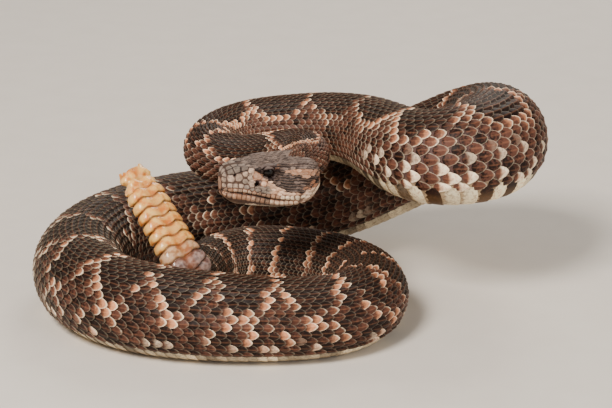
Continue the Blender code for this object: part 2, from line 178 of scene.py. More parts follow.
def between(knots, where):
    """The knot before each place, the step to the next one and the share of it that is passed."""
    i = np.clip(np.searchsorted(knots, where) - 1, 0, len(knots) - 2)
    step = np.diff(knots)[i][:, None]
    return i, step, (where - knots[i])[:, None] / step


def natural_spline(knots, values):
    """The smoothest curve through the values at the knots."""
    steps = np.diff(knots)
    slopes = np.diff(values, axis=0) / steps[:, None]
    matrix = np.eye(len(knots))
    right = np.zeros_like(values)
    for i in range(1, len(knots) - 1):
        matrix[i, i - 1 : i + 2] = steps[i - 1], 2 * (steps[i - 1] + steps[i]), steps[i]
        right[i] = 6 * (slopes[i] - slopes[i - 1])
    bends = np.linalg.solve(matrix, right)

    def at(where):
        i, step, after = between(knots, where)
        before = 1 - after
        line = before * values[i] + after * values[i + 1]
        bow = (before**3 - before) * bends[i] + (after**3 - after) * bends[i + 1]
        return line + bow * step**2 / 6

    return at


def steady_curve(knots, values):
    """A smooth curve through the values at the knots that never passes beyond two neighbours."""
    slopes = np.diff(values, axis=0) / np.diff(knots)[:, None]
    before = slopes[:-1]
    after = slopes[1:]
    same_way = before * after > 0
    total = np.where(same_way, before + after, 1.0)
    inner = np.where(same_way, 2 * before * after / total, 0.0)
    tangents = np.concatenate([slopes[:1], inner, slopes[-1:]])

    def at(where):
        i, step, t = between(knots, where)
        start = (1 + 2 * t) * (1 - t) ** 2 * values[i] + t * (1 - t) ** 2 * step * tangents[i]
        end = t**2 * (3 - 2 * t) * values[i + 1] + t**2 * (t - 1) * step * tangents[i + 1]
        return start + end

    return at


def soften(columns, width):
    """A running average over the samples, with a bell of the given width, held at both ends."""
    reach = np.arange(-3 * width, 3 * width + 1)
    bell = np.exp(-0.5 * (reach / width) ** 2)
    bell /= bell.sum()
    softened = []
    for column in columns.T:
        before = 2 * column[0] - column[3 * width : 0 : -1]
        after = 2 * column[-1] - column[-2 : -3 * width - 2 : -1]
        softened.append(np.convolve(np.concatenate([before, column, after]), bell, "valid"))
    return np.array(softened).T


def lay_route():
    """The body's centreline every quarter of a millimetre, with its radius, axes and bends."""
    rows = np.array(ROUTE, float)
    rows[:, :2] -= PLAN_MIDDLE
    rows[:, :4] *= MM
    plan = rows[:, :2]
    knots = length_along(plan)
    fine = np.linspace(0.0, knots[-1], int(knots[-1] / MM * SAMPLES_PER_MM))
    width = SOFTENED_OVER * SAMPLES_PER_MM
    across = soften(natural_spline(knots, plan)(fine), width)
    lift, radius, roll = soften(steady_curve(knots, rows[:, 2:])(fine), width).T
    points = np.column_stack([across, lift + BELLY * radius])
    arc = length_along(points)
    where = np.linspace(0.0, arc[-1], len(fine))
    curves = (*points.T, radius, np.radians(roll))
    curves = np.column_stack([np.interp(where, arc, curve) for curve in curves])
    ahead = unit(np.gradient(curves[:, :3], where, axis=0))
    curvature = soften(np.gradient(ahead, where, axis=0), width)
    level_up = unit(np.array([0.0, 0.0, 1.0]) - ahead * ahead[:, 2:])
    level_side = np.cross(ahead, level_up)
    roll = curves[:, 4:5]
    return {
        "where": where,
        "centre": curves[:, :3],
        "radius": curves[:, 3],
        "ahead": ahead,
        "side": level_side * np.cos(roll) + level_up * np.sin(roll),
        "up": level_up * np.cos(roll) - level_side * np.sin(roll),
        "curvature": curvature - ahead * dot(curvature, ahead),
    }


route = lay_route()
body_length = route["where"][-1]


def along_route(name, distance):
    column = route[name]
    if column.ndim == 1:
        return np.interp(distance, route["where"], column)
    return np.stack([np.interp(distance, route["where"], part) for part in column.T], axis=-1)


def skin_depth(distance):
    """How far the skin lies inside the body's outline."""
    return SKIN_DEPTH + SKIN_DEPTH_GROWTH * along_route("radius", distance)


def body_surface(distance, angle, depth=0.0):
    """Points on the body by the distance along it and the angle round it, the back being at 0."""
    radius = along_route("radius", distance) - depth
    from_end = np.clip((body_length - distance) / TAIL_FLATTENED_OVER, 0.0, 1.0)
    width = TAIL_FLATTENED + (1 - TAIL_FLATTENED) * from_end
    height = BELLY_CORNER * np.log1p(np.exp((np.cos(angle) + BELLY) / BELLY_CORNER)) - BELLY
    offset = along_route("side", distance) * (np.sin(angle) * radius * width)[..., None]
    offset += along_route("up", distance) * (height * radius)[..., None]
    curvature = along_route("curvature", distance)
    bend = np.linalg.norm(curvature, axis=-1, keepdims=True) + 1e-9
    inward = curvature / bend
    limit = INSIDE_OF_BEND / bend
    reach = dot(offset, inward)
    free = PRESSED_FROM * limit
    room = limit - free
    pressed = free + room * (1 - np.exp(-np.maximum(reach - free, 0.0) / room))
    offset += inward * np.where(reach > free, pressed - reach, 0.0)
    return along_route("centre", distance) + offset


def body_frame(distance, angle, depth=0.0):
    """Point, outward normal and stretch along the body at places on it."""
    step = 0.2 * MM
    turn = 0.01
    point = body_surface(distance, angle, depth)
    ahead = (body_surface(distance + step, angle, depth) - point) / step
    around = body_surface(distance, angle + turn, depth) - point
    normal = unit(np.cross(around, ahead))
    return point, normal, np.linalg.norm(ahead, axis=-1)


skull_back = along_route("ahead", 0.0)
skull_out = along_route("side", 0.0)
skull_up = along_route("up", 0.0)
snout = along_route("centre", 0.0) - skull_back * SNOUT_TO_SKULL * MM
head_table = np.array(HEAD)
head_columns = steady_curve(head_table[:, 0], head_table[:, 1:])


def head_outline(back):
    """The points of the head's sections, half a section each, as distances out and up."""
    crown, crown_up, rise, eye_level, lip, mouth, jaw, under = head_columns(back).T
    groove = MOUTH_DEPTH * np.clip((MOUTH_LENGTH - back) / 4.0, 0.0, 1.0)
    outs = (
        0 * crown,
        0.5 * crown,
        0.86 * crown,
        crown,
        0.4 * crown + 0.6 * eye_level,
        eye_level,
        0.5 * (eye_level + lip),
        lip,
        lip - 0.15,
        lip - 0.3 - groove,
        jaw + 0.7,
        jaw + 0.3,
        0.78 * jaw,
        0.42 * jaw,
        0 * jaw,
    )
    ups = (
        crown_up + rise,
        crown_up + 0.8 * rise,
        crown_up + 0.1,
        crown_up - 0.7,
        0.72 * crown_up - 0.2,
        0.3 * crown_up,
        -0.1 * crown_up,
        mouth + 0.21 * (crown_up - mouth),
        mouth + LIP_HEIGHT,
        mouth,
        mouth - LIP_HEIGHT,
        mouth + 0.5 * (under - mouth),
        under + 0.12 * (mouth - under),
        under,
        under,
    )
    return np.stack(outs, axis=-1), np.stack(ups, axis=-1)


def head_section(back, row):
    """Distances out and up on the head, by distance back and row round it: 0 crown, 14 chin."""
    outs, ups = head_outline(np.clip(back, 0.0, HEAD_LENGTH))
    outs = np.concatenate([outs, -outs[:, -2:0:-1]], axis=1)
    ups = np.concatenate([ups, ups[:, -2:0:-1]], axis=1)
    first = np.floor(row).astype(int)
    t = row - first
    weights = (
        0.5 * t * ((2 - t) * t - 1),
        0.5 * ((3 * t - 5) * t * t + 2),
        0.5 * t * ((4 - 3 * t) * t + 1),
        0.5 * (t - 1) * t * t,
    )
    out = 0.0
    up = 0.0
    for k, weight in enumerate(weights):
        at = (np.arange(len(row)), (first + k - 1) % HEAD_ROWS)
        out = out + weight * outs[at]
        up = up + weight * ups[at]
    closing = np.sqrt(np.clip(1 - (np.minimum(back, 0.0) / SNOUT_CAP) ** 2, 0.0, 1.0))
    return out * closing, SNOUT_MIDDLE + (up - SNOUT_MIDDLE) * closing


def hollow(back, out, up, spec):
    """How far the skin sinks round a named place on both sides of the head."""
    away = np.hypot(back - spec["back"], up - spec["up"]) / spec["spread"]
    beside = smooth_step(np.abs(out), 0.5 * spec["out"], 0.7 * spec["out"])
    rim = spec["rim"] * np.exp(-(((away - 1.35) / 0.3) ** 2))
    return (spec["depth"] * np.exp(-(away**4)) - rim) * beside


def head_surface(back, row):
    """Points on the head's skin, in the head's own millimetres: back, out and up."""
    out, up = head_section(back, row)
    after_out, after_up = head_section(back, (row + ROW_NUDGE) % HEAD_ROWS)
    edge = unit(table(after_out - out, after_up - up))
    inward = table(edge[:, 1], -edge[:, 0])
    inward *= -np.sign(dot(inward, table(out, up - HEAD_MIDDLE)))
    out = out + inward[:, 0] * HEAD_SKIN_DEPTH
    up = up + inward[:, 1] * HEAD_SKIN_DEPTH
    sunk = sum(hollow(back, out, up, spec) for spec in (EYE, PIT, NOSTRIL))
    return table(back, out - np.sign(out) * sunk, up)


def from_head(points):
    """Head millimetres turned into places in the model."""
    axes = np.stack([skull_back, skull_out, skull_up])
    return snout + points @ axes * MM


def make_mesh(name, points, faces):
    """A new object in the scene, made of points and faces."""
    mesh = bpy.data.meshes.new(name)
    mesh.from_pydata(points.tolist(), [], faces)
    mesh.validate()
    mesh.update()
    piece = bpy.data.objects.new(name, mesh)
    bpy.context.scene.collection.objects.link(piece)
    return piece


def tube_faces(rings, sides):
    """The quads of a tube of rings, closed at both ends by a face."""
    faces = []
    for i in range(rings - 1):
        for k in range(sides):
            after = (k + 1) % sides
            low = i * sides
            high = low + sides
            faces.append((low + k, low + after, high + after, high + k))
    faces.append(tuple(range(sides))[::-1])
    last = (rings - 1) * sides
    faces.append(tuple(range(last, last + sides)))
    return faces


def build_skin():
    """The tube of the body and the head, joined in one closed mesh."""
    rings = int((body_length - SKIN_FROM) / SKIN_RING_STEP)
    distance = np.linspace(SKIN_FROM, body_length, rings)
    distance, angle = grid(distance, np.linspace(0.0, 2 * math.pi, SKIN_SIDES, endpoint=False))
    points = body_surface(distance, angle, skin_depth(distance))
    body = make_mesh("skin", points, tube_faces(rings, SKIN_SIDES))
    closing = -SNOUT_CAP * np.cos(np.linspace(0.06, 0.5, 7) * math.pi)
    backs = np.concatenate([closing[:-1], np.linspace(0.0, HEAD_LENGTH, HEAD_RINGS)])
    sides = HEAD_ROWS * SIDES_A_ROW
    points = from_head(head_surface(*grid(backs, np.arange(sides) / SIDES_A_ROW)))
    head = make_mesh("head_skin", points, tube_faces(len(backs), sides))
    modifier = body.modifiers.new("head", "BOOLEAN")
    modifier.operation = "UNION"
    modifier.object = head
    modifier.solver = "MANIFOLD"
    bpy.context.view_layer.update()
    evaluated = body.evaluated_get(bpy.context.evaluated_depsgraph_get())
    joined = bpy.data.meshes.new_from_object(evaluated)
    body.modifiers.clear()
    body.data = joined
    bpy.data.objects.remove(head)
    body.data.shade_smooth()
    return body


skin = build_skin()

# The markings
# The colours lie in the scales and in the skin alike. Dark blotches follow one another down the
# back, parted by thin pale lines that fork on the flank, with smaller spots below them. Bars
# ring the tail, and the belly is cream with brown clouds.
# Where the pale lines and the flank's spots lie, in millimetres along the body.
PALE_BANDS = (22, 46, 72, 81, 103, 128, 151, 175, 203, 227, 252, 276, 300, 324, 348, 373, 398, 423)
PALE_BANDS += (447, 471, 495, 518, 539.5, 563, 587, 605, 621, 637, 652.5, 671, 686, 700, 711, 722, 733)
FLANK_SPOTS = (35, 59, 76, 92, 116, 140, 163, 188, 214, 240, 264, 288, 312, 336, 360, 386, 411, 435)
FLANK_SPOTS += (459, 482, 503, 524, 545, 561, 578, 595, 612, 629, 645, 662, 679, 693, 706, 720, 735)
BAND_WIDTH = 2.2
LINE_WIDTH = 0.17
# A spot's half length in millimetres, and its place and half height in degrees from the back.
SPOT = (6.0, 96.0, 17.0)
# Profiles along the body, as pairs of millimetres from the neck's root and a value.
BLOTCH_POWER = ((0, 2.2), (90, 2.2), (235, 2.0), (480, 1.3), (604, 1.3), (622, 4.0), (739, 4.0))
BLOTCH_REACH = ((0, 40), (80, 50), (170, 58), (235, 58), (480, 68), (604, 68), (622, 104), (739, 104))
SPOT_SHARE = ((0, 0.5), (90, 0.6), (160, 0.15), (235, 0.15), (300, 0.6), (480, 1), (604, 1), (620, 0))
GROUND = ((0, 0.30), (90, 0.26), (165, 0.26), (180, 0.29), (228, 0.29), (250, 0.26), (480, 0.14))
GROUND += ((739, 0.13),)
PALENESS = ((0, 0.95), (60, 1.0), (104, 1.0), (140, 0.75), (175, 0.85), (225, 0.8), (300, 0.8))
PALENESS += ((400, 0.5), (455, 0.6), (485, 0.85), (510, 1.0), (600, 1.0), (625, 0.75), (660, 1.0))
PALENESS += ((700, 1.0), (712, 0.45), (739, 0.4))
BLOTCH_SHADE = ((0, 0.03), (205, 0.03), (217, 0.07), (262, 0.07), (290, 0.03))
WARMTH = ((0, 0.4), (60, 0.75), (150, 0.55), (180, 1.0), (228, 1.0), (300, 0.6), (450, 0.45))
WARMTH += ((520, 0.35), (600, 0.35), (640, 0.7), (700, 0.6), (715, 0.0), (739, 0.0))


def within(value, low, high):
    return (value > low) & (value < high)


def profile(pairs, place):
    knots = np.array(pairs, float)
    return np.interp(place, knots[:, 0], knots[:, 1])


def neighbours(marks, place):
    """The mark before and the mark after each place along the body."""
    marks = np.array(marks, float)
    i = np.clip(np.searchsorted(marks, place), 1, len(marks) - 1)
    return marks[i - 1], marks[i]


def markings(distance, angle):
    """How pale, warm and cream the body is at places on it, each from 0 to 1."""
    place = distance / MM
    side = np.abs(np.degrees((angle + math.pi) % (2 * math.pi) - math.pi))
    before, after = neighbours(PALE_BANDS, place)
    half = 0.5 * (after - before - BAND_WIDTH)
    power = profile(BLOTCH_POWER, place)
    blotch = (np.abs(place - 0.5 * (before + after)) / half) ** power
    blotch = (blotch + (side / profile(BLOTCH_REACH, place)) ** power) ** (1 / power) - 1
    line = np.exp(-(((blotch - 0.7 * LINE_WIDTH) / LINE_WIDTH) ** 2))
    before, after = neighbours(FLANK_SPOTS, place)
    length, low, reach = SPOT
    away = np.minimum(place - before, after - place)
    spot = np.abs(away) / length + np.abs(side - low) / reach - 1
    share = profile(SPOT_SHARE, place)
    fringe = 0.95 * share * np.exp(-(((spot - 0.2) / 0.30) ** 2))
    pale = np.maximum.reduce([line, fringe, profile(GROUND, place)])
    pale = np.where(spot < 0.0, pale + (0.08 - pale) * share, pale)
    pale = np.where(blotch < 0.0, profile(BLOTCH_SHADE, place), pale) * profile(PALENESS, place)
    cream = smooth_step(side, 96, 122) * 0.6 * (pale > 0.3)
    warm = profile(WARMTH, place) * smooth_step(side, 48, 66)
    return pale, warm, cream


# The head's zones, each with how pale, warm and cream it is.
CROWN = (0.25, 0.0, 0.0)
SNOUT_TOP = (0.46, 0.0, 0.10)
MUZZLE = (0.62, 0.10, 0.16)
CHEEK_STRIPE = (0.62, 0.85, 0.16)
TEMPLE_STRIPE = (0.50, 0.75, 0.08)
# Dark stripes, and the painted shade in the nostril and the pit.
DARK_STRIPE_AND_HOLLOW_SHADE = (0.05, 0.0, 0.0)
RED_STRIPE = (0.05, 0.75, 0.0)
PREOCULAR_PATCH = (0.70, 0.75, 0.06)
GREY_PATCH = (0.34, 0.0, 0.10)
PALE_LIP = (0.56, 0.55, 0.26)
ORANGE_LIP = (0.36, 0.70, 0.14)
CREAM_CHEEK = (0.74, 0.45, 0.62)
CHIN = (0.72, 0.25, 0.5)
# The rows round the head where the upper lip begins, the mouth lies and the lower lip ends.
LIP_FROM = 7.1
MOUTH_ROW = 9.2
LIP_TO = 11.7


def head_marks(back, row):
    """How pale, warm and cream the head is, by distance back and row round it."""
    row = np.minimum(row, HEAD_ROWS - row)
    upper = np.interp(back, (17, 21, 26, 30, 37), (3.4, 4.1, 4.6, 5.0, 5.4))
    lower = np.interp(back, (14, 17, 20, 25, 31, 37), (5.0, 5.4, 6.4, 7.0, 7.1, 6.8))
    temple = upper - 0.3 - 0.8 * smooth_step(back, 20, 28)
    upper_lip = within(row, LIP_FROM, MOUTH_ROW)
    lower_lip = within(row, MOUTH_ROW, LIP_TO)
    fades = smooth_step(back, 5.0, 11.0)[..., None]
    marks = np.array(SNOUT_TOP) * (1 - fades) + np.array(CROWN) * fades
    zones = (
        ((row > 3.3) & (back < 11.5), MUZZLE),
        (within(row, 3.9, 5.7) & within(back, 10.4, 15.4), PREOCULAR_PATCH),
        (within(row, lower, 8) & (back > 13.5), CHEEK_STRIPE),
        (within(row, temple, upper) & (back > 20.5), TEMPLE_STRIPE),
        (within(row, upper, lower) & (back > 17.5), DARK_STRIPE_AND_HOLLOW_SHADE),
        (within(row, upper + 0.6, lower) & (back > 29.0), RED_STRIPE),
        (within(row, 2.9, 3.5 + 0.40 * (back - 11.6)) & within(back, 11.6, 19.6), DARK_STRIPE_AND_HOLLOW_SHADE),
        (within(row, 1.7, 3.5) & within(back, 19.0, 20.4), RED_STRIPE),
        (np.hypot((back - 11.8) / 4.6, (row - 6.75) / 0.6) < 1, GREY_PATCH),
        (upper_lip, PALE_LIP),
        (upper_lip & within(back, 10, 20), ORANGE_LIP),
        (upper_lip & (back < 3.4), ORANGE_LIP),
        (lower_lip, ORANGE_LIP),
        ((row > lower + 0.9) & (back > 20.5), CREAM_CHEEK),
        (lower_lip & (back > 17), PALE_LIP),
        (row > LIP_TO, CHIN),
        # The last two zones paint the nostril and the pit dark: painted shade in their hollows.
        (np.hypot((back - 4.2) / 0.7, (row - 4.5) / 0.4) < 1, DARK_STRIPE_AND_HOLLOW_SHADE),
        (np.hypot((back - 12.3) / 1.0, (row - 6.0) / 0.6) < 1, DARK_STRIPE_AND_HOLLOW_SHADE),
    )
    for inside, zone in zones:
        marks = np.where(inside[..., None], np.array(zone), marks)
    return np.moveaxis(marks, -1, 0)


def colour(red, green, blue):
    """A colour from its usual numbers up to 255, as the shaders need it."""
    shares = np.array((red, green, blue)) / 255
    shares = np.where(shares <= 0.04045, shares / 12.92, ((shares + 0.055) / 1.055) ** 2.4)
    return (*shares.tolist(), 1.0)


def wire(tree, node, inputs):
    """Sets a node's inputs: a socket of another node is linked, anything else is a value."""
    for key, value in inputs.items():
        if isinstance(value, bpy.types.NodeSocket):
            tree.links.new(value, node.inputs[key])
        else:
            node.inputs[key].default_value = value
    return node


def add(tree, kind, inputs, **settings):
    """One shader node, with its settings and its inputs."""
    node = tree.nodes.new("ShaderNode" + kind)
    for name, value in settings.items():
        setattr(node, name, value)
    return wire(tree, node, inputs)


def combine(tree, a, b, operation="MULTIPLY"):
    return add(tree, "Math", {0: a, 1: b}, operation=operation).outputs[0]


def sway(tree, value, chance, amount):
    """A value moved up or down by another, which lies around a half."""
    shift = combine(tree, combine(tree, chance, 0.5, "SUBTRACT"), amount)
    return combine(tree, value, shift, "ADD")


def step_up(tree, value, start, end, low=0.0, high=1.0):
    inputs = {0: value, 1: start, 2: end, 3: low, 4: high}
    return add(tree, "MapRange", inputs, interpolation_type="SMOOTHSTEP").outputs[0]


def blend_colours(tree, share, first, second):
    return add(tree, "Mix", {0: share, 6: first, 7: second}, data_type="RGBA").outputs[2]


def noise(tree, scale, detail):
    """Noise in the model's own space, with so many cells to the metre."""
    where = add(tree, "TexCoord", {}).outputs["Object"]
    return add(tree, "TexNoise", {"Vector": where, "Scale": scale, "Detail": detail}).outputs[0]


def carried(tree, name):
    """The four values that the mesh carries under a name."""
    attribute = add(tree, "Attribute", {}, attribute_name=name)
    split = add(tree, "SeparateColor", {0: attribute.outputs["Color"]})
    return *split.outputs, attribute.outputs["Alpha"]


def new_finish(name):
    """A material, its shader tree and its shader."""
    material = bpy.data.materials.new(name)
    material.use_nodes = True
    return material, material.node_tree, material.node_tree.nodes["Principled BSDF"]


TONES = ("Dark", "Brown", "Warm", "Tan", "Cream")


def make_scale_colours():
    """Colour, roughness and relief of scale and skin, from the marks that the mesh carries, with painted
    shade toward the roots and painted highlights on edges and keels.
    """
    group = bpy.data.node_groups.new("scale_colours", "ShaderNodeTree")
    for tone in TONES:
        group.interface.new_socket(tone, in_out="INPUT", socket_type="NodeSocketColor")
    for label, kind in (("Colour", "Color"), ("Roughness", "Float"), ("Relief", "Float")):
        group.interface.new_socket(label, in_out="OUTPUT", socket_type="NodeSocket" + kind)
    given = group.nodes.new("NodeGroupInput").outputs
    dark, brown, warm_tone, tan, cream_tone = [given[tone] for tone in TONES]
    pale, warm, cream, chance = carried(group, "marks")
    edge, along, keel, _ = carried(group, "form")
    mottle = noise(group, 900.0, 4.0)
    grain = noise(group, 4200.0, 2.0)
    # Each scale is painted darker toward its root, and each plate toward its rim: partly their own darker
    # base, partly painted shade in the overlaps and gaps between them.
    here = combine(group, pale, step_up(group, along, 0.05, 0.85, 0.3, 1.2))
    here = sway(group, sway(group, here, chance, 0.16), mottle, 0.75)
    shade = blend_colours(group, step_up(group, here, 0.02, 0.40), dark, brown)
    ruddy = combine(group, warm, step_up(group, here, 0.02, 0.30))
    shade = blend_colours(group, ruddy, shade, warm_tone)
    shade = blend_colours(group, step_up(group, here, 0.40, 1.25), shade, tan)
    rim = combine(group, edge, 2.2, "POWER")
    rim = combine(group, rim, step_up(group, here, 0.25, 0.75, 0.05, 1.0))
    # A thin pale line round every scale's edge, strongest where warm: partly the scale's pale rim, partly a
    # painted highlight of light caught on the edge.
    thin = combine(group, edge, 5.0, "POWER")
    thin = combine(group, thin, step_up(group, warm, 0.3, 1.0, 0.15, 0.46))
    bright = combine(group, cream, step_up(group, along, 0.28, 0.70))
    bright = combine(group, bright, step_up(group, mottle, 0.36, 0.55, 0.50, 1.0))
    bright = combine(group, bright, combine(group, rim, thin, "MAXIMUM"), "MAXIMUM")
    shade = blend_colours(group, bright, shade, cream_tone)
    # The third form value paints a tan line down each scale's keel, a painted highlight; on the belly scutes
    # it marks their own golden middle.
    shade = blend_colours(group, combine(group, keel, 0.13), shade, tan)
    value = step_up(group, grain, 0.25, 0.75, 0.82, 1.2)
    value = combine(group, value, step_up(group, chance, 0, 1, 0.84, 1.16))
    wire(group, group.nodes.new("NodeGroupOutput"), {
        "Colour": add(group, "HueSaturation", {"Color": shade, "Value": value}).outputs[0],
        "Roughness": step_up(group, grain, 0.3, 0.7, 0.44, 0.62),
        "Relief": combine(group, grain, combine(group, mottle, 2.0), "ADD"),
    })
    return group


scale_colours = make_scale_colours()


def scale_material(name, bump, tones):
    """A finish for scale or skin, with its own five tones."""
    material, tree, shader = new_finish(name)
    group = tree.nodes.new("ShaderNodeGroup")
    group.node_tree = scale_colours
    wire(tree, group, {label: colour(*tone) for label, tone in zip(TONES, tones)})
    relief = {"Strength": 0.35, "Distance": bump, "Height": group.outputs["Relief"]}
    wire(tree, shader, {
        "Base Color": group.outputs["Colour"],
        "Roughness": group.outputs["Roughness"],
        "Normal": add(tree, "Bump", relief).outputs[0],
        "Specular IOR Level": 0.16,
    })
    return material


SKIN_TONES = ((24, 14, 12), (62, 42, 36), (84, 63, 60), (116, 84, 70), (196, 170, 134))
HEAD_CENTRE = (19.0, 0.0, 0.0)
HEAD_AROUND = 24 * MM
ON_HEAD = 0.7 * MM


def set_attribute(piece, name, values):
    """Stores four values for each vertex, for the shaders."""
    attribute = piece.data.attributes.new(name, "FLOAT_COLOR", "POINT")
    attribute.data.foreach_set("color", np.ascontiguousarray(values, np.float32).ravel())


def nearest_on_route(points):
    """Distance along the body and angle round it for places near it."""
    coarse = np.arange(0.0, body_length, 2 * MM)
    centres = along_route("centre", coarse)
    best = np.zeros(len(points))
    for part in np.array_split(np.arange(len(points)), 40):
        away = ((points[part, None] - centres[None]) ** 2).sum(axis=-1)
        radius = along_route("radius", coarse)
        best[part] = coarse[np.argmin(away / radius[None] ** 2, axis=1)]
    for _ in range(3):
        offset = points - along_route("centre", best)
        slide = dot(offset, along_route("ahead", best))[:, 0]
        best = np.clip(best + 0.7 * np.clip(slide, -1.5 * MM, 1.5 * MM), 0.0, body_length)
    offset = points - along_route("centre", best)
    side = dot(offset, along_route("side", best))[:, 0]
    up = dot(offset, along_route("up", best))[:, 0]
    return best, np.arctan2(side, up)


def head_places(points):
    """Distance back and row round the head for places on its skin, and how far off each lies."""
    back, row = grid(np.linspace(0.0, HEAD_LENGTH, 110), np.arange(0, HEAD_ROWS, 0.2))
    tree = KDTree(len(back))
    for i, sample in enumerate(from_head(head_surface(back, row))):
        tree.insert(sample, i)
    tree.balance()
    found = [tree.find(point)[1:] for point in points]
    index = np.array([i for i, _ in found])
    return back[index], row[index], np.array([away for _, away in found])


def mark_skin():
    """Gives the skin the body's marks, and the head's where it lies on the head."""
    points = np.empty(len(skin.data.vertices) * 3)
    skin.data.vertices.foreach_get("co", points)
    points = points.reshape(-1, 3)
    distance, angle = nearest_on_route(points)
    stretch = body_frame(distance, angle)[2]
    pale = 0.4 * markings(distance, angle)[0] + 0.22 * smooth_step(stretch, 1.12, 1.5)
    warm = smooth_step(stretch, 1.12, 1.45)
    cream = 0.8 * smooth_step(np.abs(angle), math.radians(112), math.radians(124))
    away = np.linalg.norm(points - from_head(np.array(HEAD_CENTRE)), axis=1)
    near = np.flatnonzero(away < HEAD_AROUND)
    back, row, away = head_places(points[near])
    on_head = away < ON_HEAD
    near = near[on_head]
    back = back[on_head]
    head_pale, head_warm, head_cream = head_marks(back, row[on_head])
    pale[near] = (0.7 + 0.5 * smooth_step(back, 12, 22)) * head_pale
    warm[near] = head_warm
    cream[near] = 0.4 * head_cream
    set_attribute(skin, "marks", table(pale, warm, cream, 0.5))
    set_attribute(skin, "form", table(0 * pale, 0.8, 0.0, 1.0))


mark_skin()
skin.data.materials.clear()
skin.data.materials.append(scale_material("skin_between_scales", 0.1 * MM, SKIN_TONES))
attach(skin, "root")
FLESH = (
    "head", "neck_turn", "neck", "upper_band_left", "upper_band_right", "front_loop_left",
    "front_loop_right", "back_loop", "descent", "back_strand", "coil_left_back", "coil_left_front",
    "coil_front", "coil_right", "tail_strand", "tail",
)
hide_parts(*FLESH)

# The back and flank scales
# Twenty-seven rows of keeled horn scales run down the body, each row half a scale out of step
# with the next. Every scale is a thin leaf with its root under the one in front, a sharp keel
# along its middle and a free tip toward the tail.
ROWS_EACH_SIDE = 13
ROW_ANGLE = 7.35
ROW_GROWTH = 0.154
SCALE_STEPS = ((0, 1.9), (20, 2.05), (60, 2.4), (110, 2.9), (170, 3.3), (230, 3.3), (300, 3.7), (420, 3.9))
SCALE_STEPS += ((520, 3.65), (600, 3.35), (680, 2.7), (739, 2.1))
FIRST_SCALE = 9 * MM
TAIL_BARE = 0.6 * MM
FINE_STEP = 0.1 * MM
SCALE_LENGTH = 1.5
SCALE_WIDTH = 1.42
SCALE_THICKNESS = 0.028
TIP_LIFT = 0.115
DOME = 0.055
KEEL = 0.05
ROOT_SUNK = 0.05
ACROSS = (-1.0, -0.66, -0.2, 0.0, 0.2, 0.66, 1.0)
ALONG = (0.0, 0.2, 0.42, 0.62, 0.79, 0.92, 1.0)
PATCH = 0.003
SCALES_IN_A_PIECE = 1300
# How much single scales differ: in length, lift, turn, and the place that their colour comes from.
VARY_LENGTH = 0.04
VARY_LIFT = 0.12
VARY_TURN = 0.05
VARY_PLACE = 0.16
VARY_ANGLE = 0.035
HORN_TONES = ((27, 15, 12), (82, 49, 37), (92, 58, 47), (212, 144, 104), (255, 238, 208))
# Where the raised loop's flecks begin and end, along the body in millimetres and in degrees.
FLECKS_IN = (165, 178)
FLECKS_OUT = (224, 240)
FLECKS_DOWN = (72, 106)
# How cream each scute of the raised loop is, from where the first of them lies.
LOOP_SCUTES_FROM = 168.7 * MM
LOOP_SCUTE = 3.3 * MM
LOOP_SCUTES = (0.1, 0.9, 0.2, 0.95, 0.9, 0.1, 1.0, 0.0, 1.0, 1.0, 0.0, 1.0, 0.0, 1.0, 0.9, 0.1, 0.8, 0.2)


def grid_faces(rows, columns, first=0):
    """The quads of a grid of points, numbered from the first one on."""
    faces = []
    for i in range(rows - 1):
        for k in range(columns - 1):
            low = first + i * columns + k
            faces.append((low, low + 1, low + columns + 1, low + columns))
    return faces


def grid_edge(rows, columns):
    """The numbers of the points round the outside of a grid, in order."""
    edge = list(range(columns))
    edge += [i * columns + columns - 1 for i in range(1, rows)]
    edge += [(rows - 1) * columns + k for k in range(columns - 2, -1, -1)]
    return edge + [i * columns for i in range(rows - 2, 0, -1)]


def leaf_shape():
    """One scale: points along and across, heights, faces, form, and how many points its top has."""
    points = []
    form = []
    heights = []
    for a in ALONG:
        for v in ACROSS:
            start = 0.10 * v * v
            end = 0.42 + 0.58 * (1 - abs(v) ** 1.8) ** 0.72
            u = start + a * (end - start)
            spread = 0.62 + 0.38 * math.sin(0.5 * math.pi * min(a / 0.55, 1.0))
            points.append((u, v * spread))
            arch = (1 - v * v) * math.sin(math.pi * (0.12 + 0.62 * a))
            ridge = (v == 0.0) * min(a / 0.15, 1.0) * (1 - 0.35 * max(0.0, a - 0.85) / 0.15)
            heights.append((u, arch, ridge, 0.0))
            # The form holds the pale edge, whose thin line is partly a painted highlight, the place along the
            # scale, which sets the painted shade at its root, and the keel line, a painted highlight.
            side = smooth_step(abs(v), 0.7, 1.0) * smooth_step(a, 0.3, 0.7)
            form.append((max(smooth_step(a, 0.72, 1.0), side), a, ridge, 1.0))
    faces = grid_faces(len(ALONG), len(ACROSS))
    edge = grid_edge(len(ALONG), len(ACROSS))
    base = len(points)
    for k in edge:
        u, v = points[k]
        points.append((0.5 + (u - 0.5) * 0.97, v * 0.94))
        heights.append((u, 0.0, 0.0, 1.0))
        form.append((*form[k][:2], 0.0, 1.0))
    middle = len(points)
    points.append((0.45, 0.0))
    heights.append((0.45, 0.3, 0.0, 1.0))
    form.append((0.0, 0.4, 0.0, 1.0))
    for n, k in enumerate(edge):
        after = (n + 1) % len(edge)
        faces.append((edge[after], k, base + n, base + after))
        faces.append((base + after, base + n, middle))
    return np.array(points), np.array(heights), faces, np.array(form), base


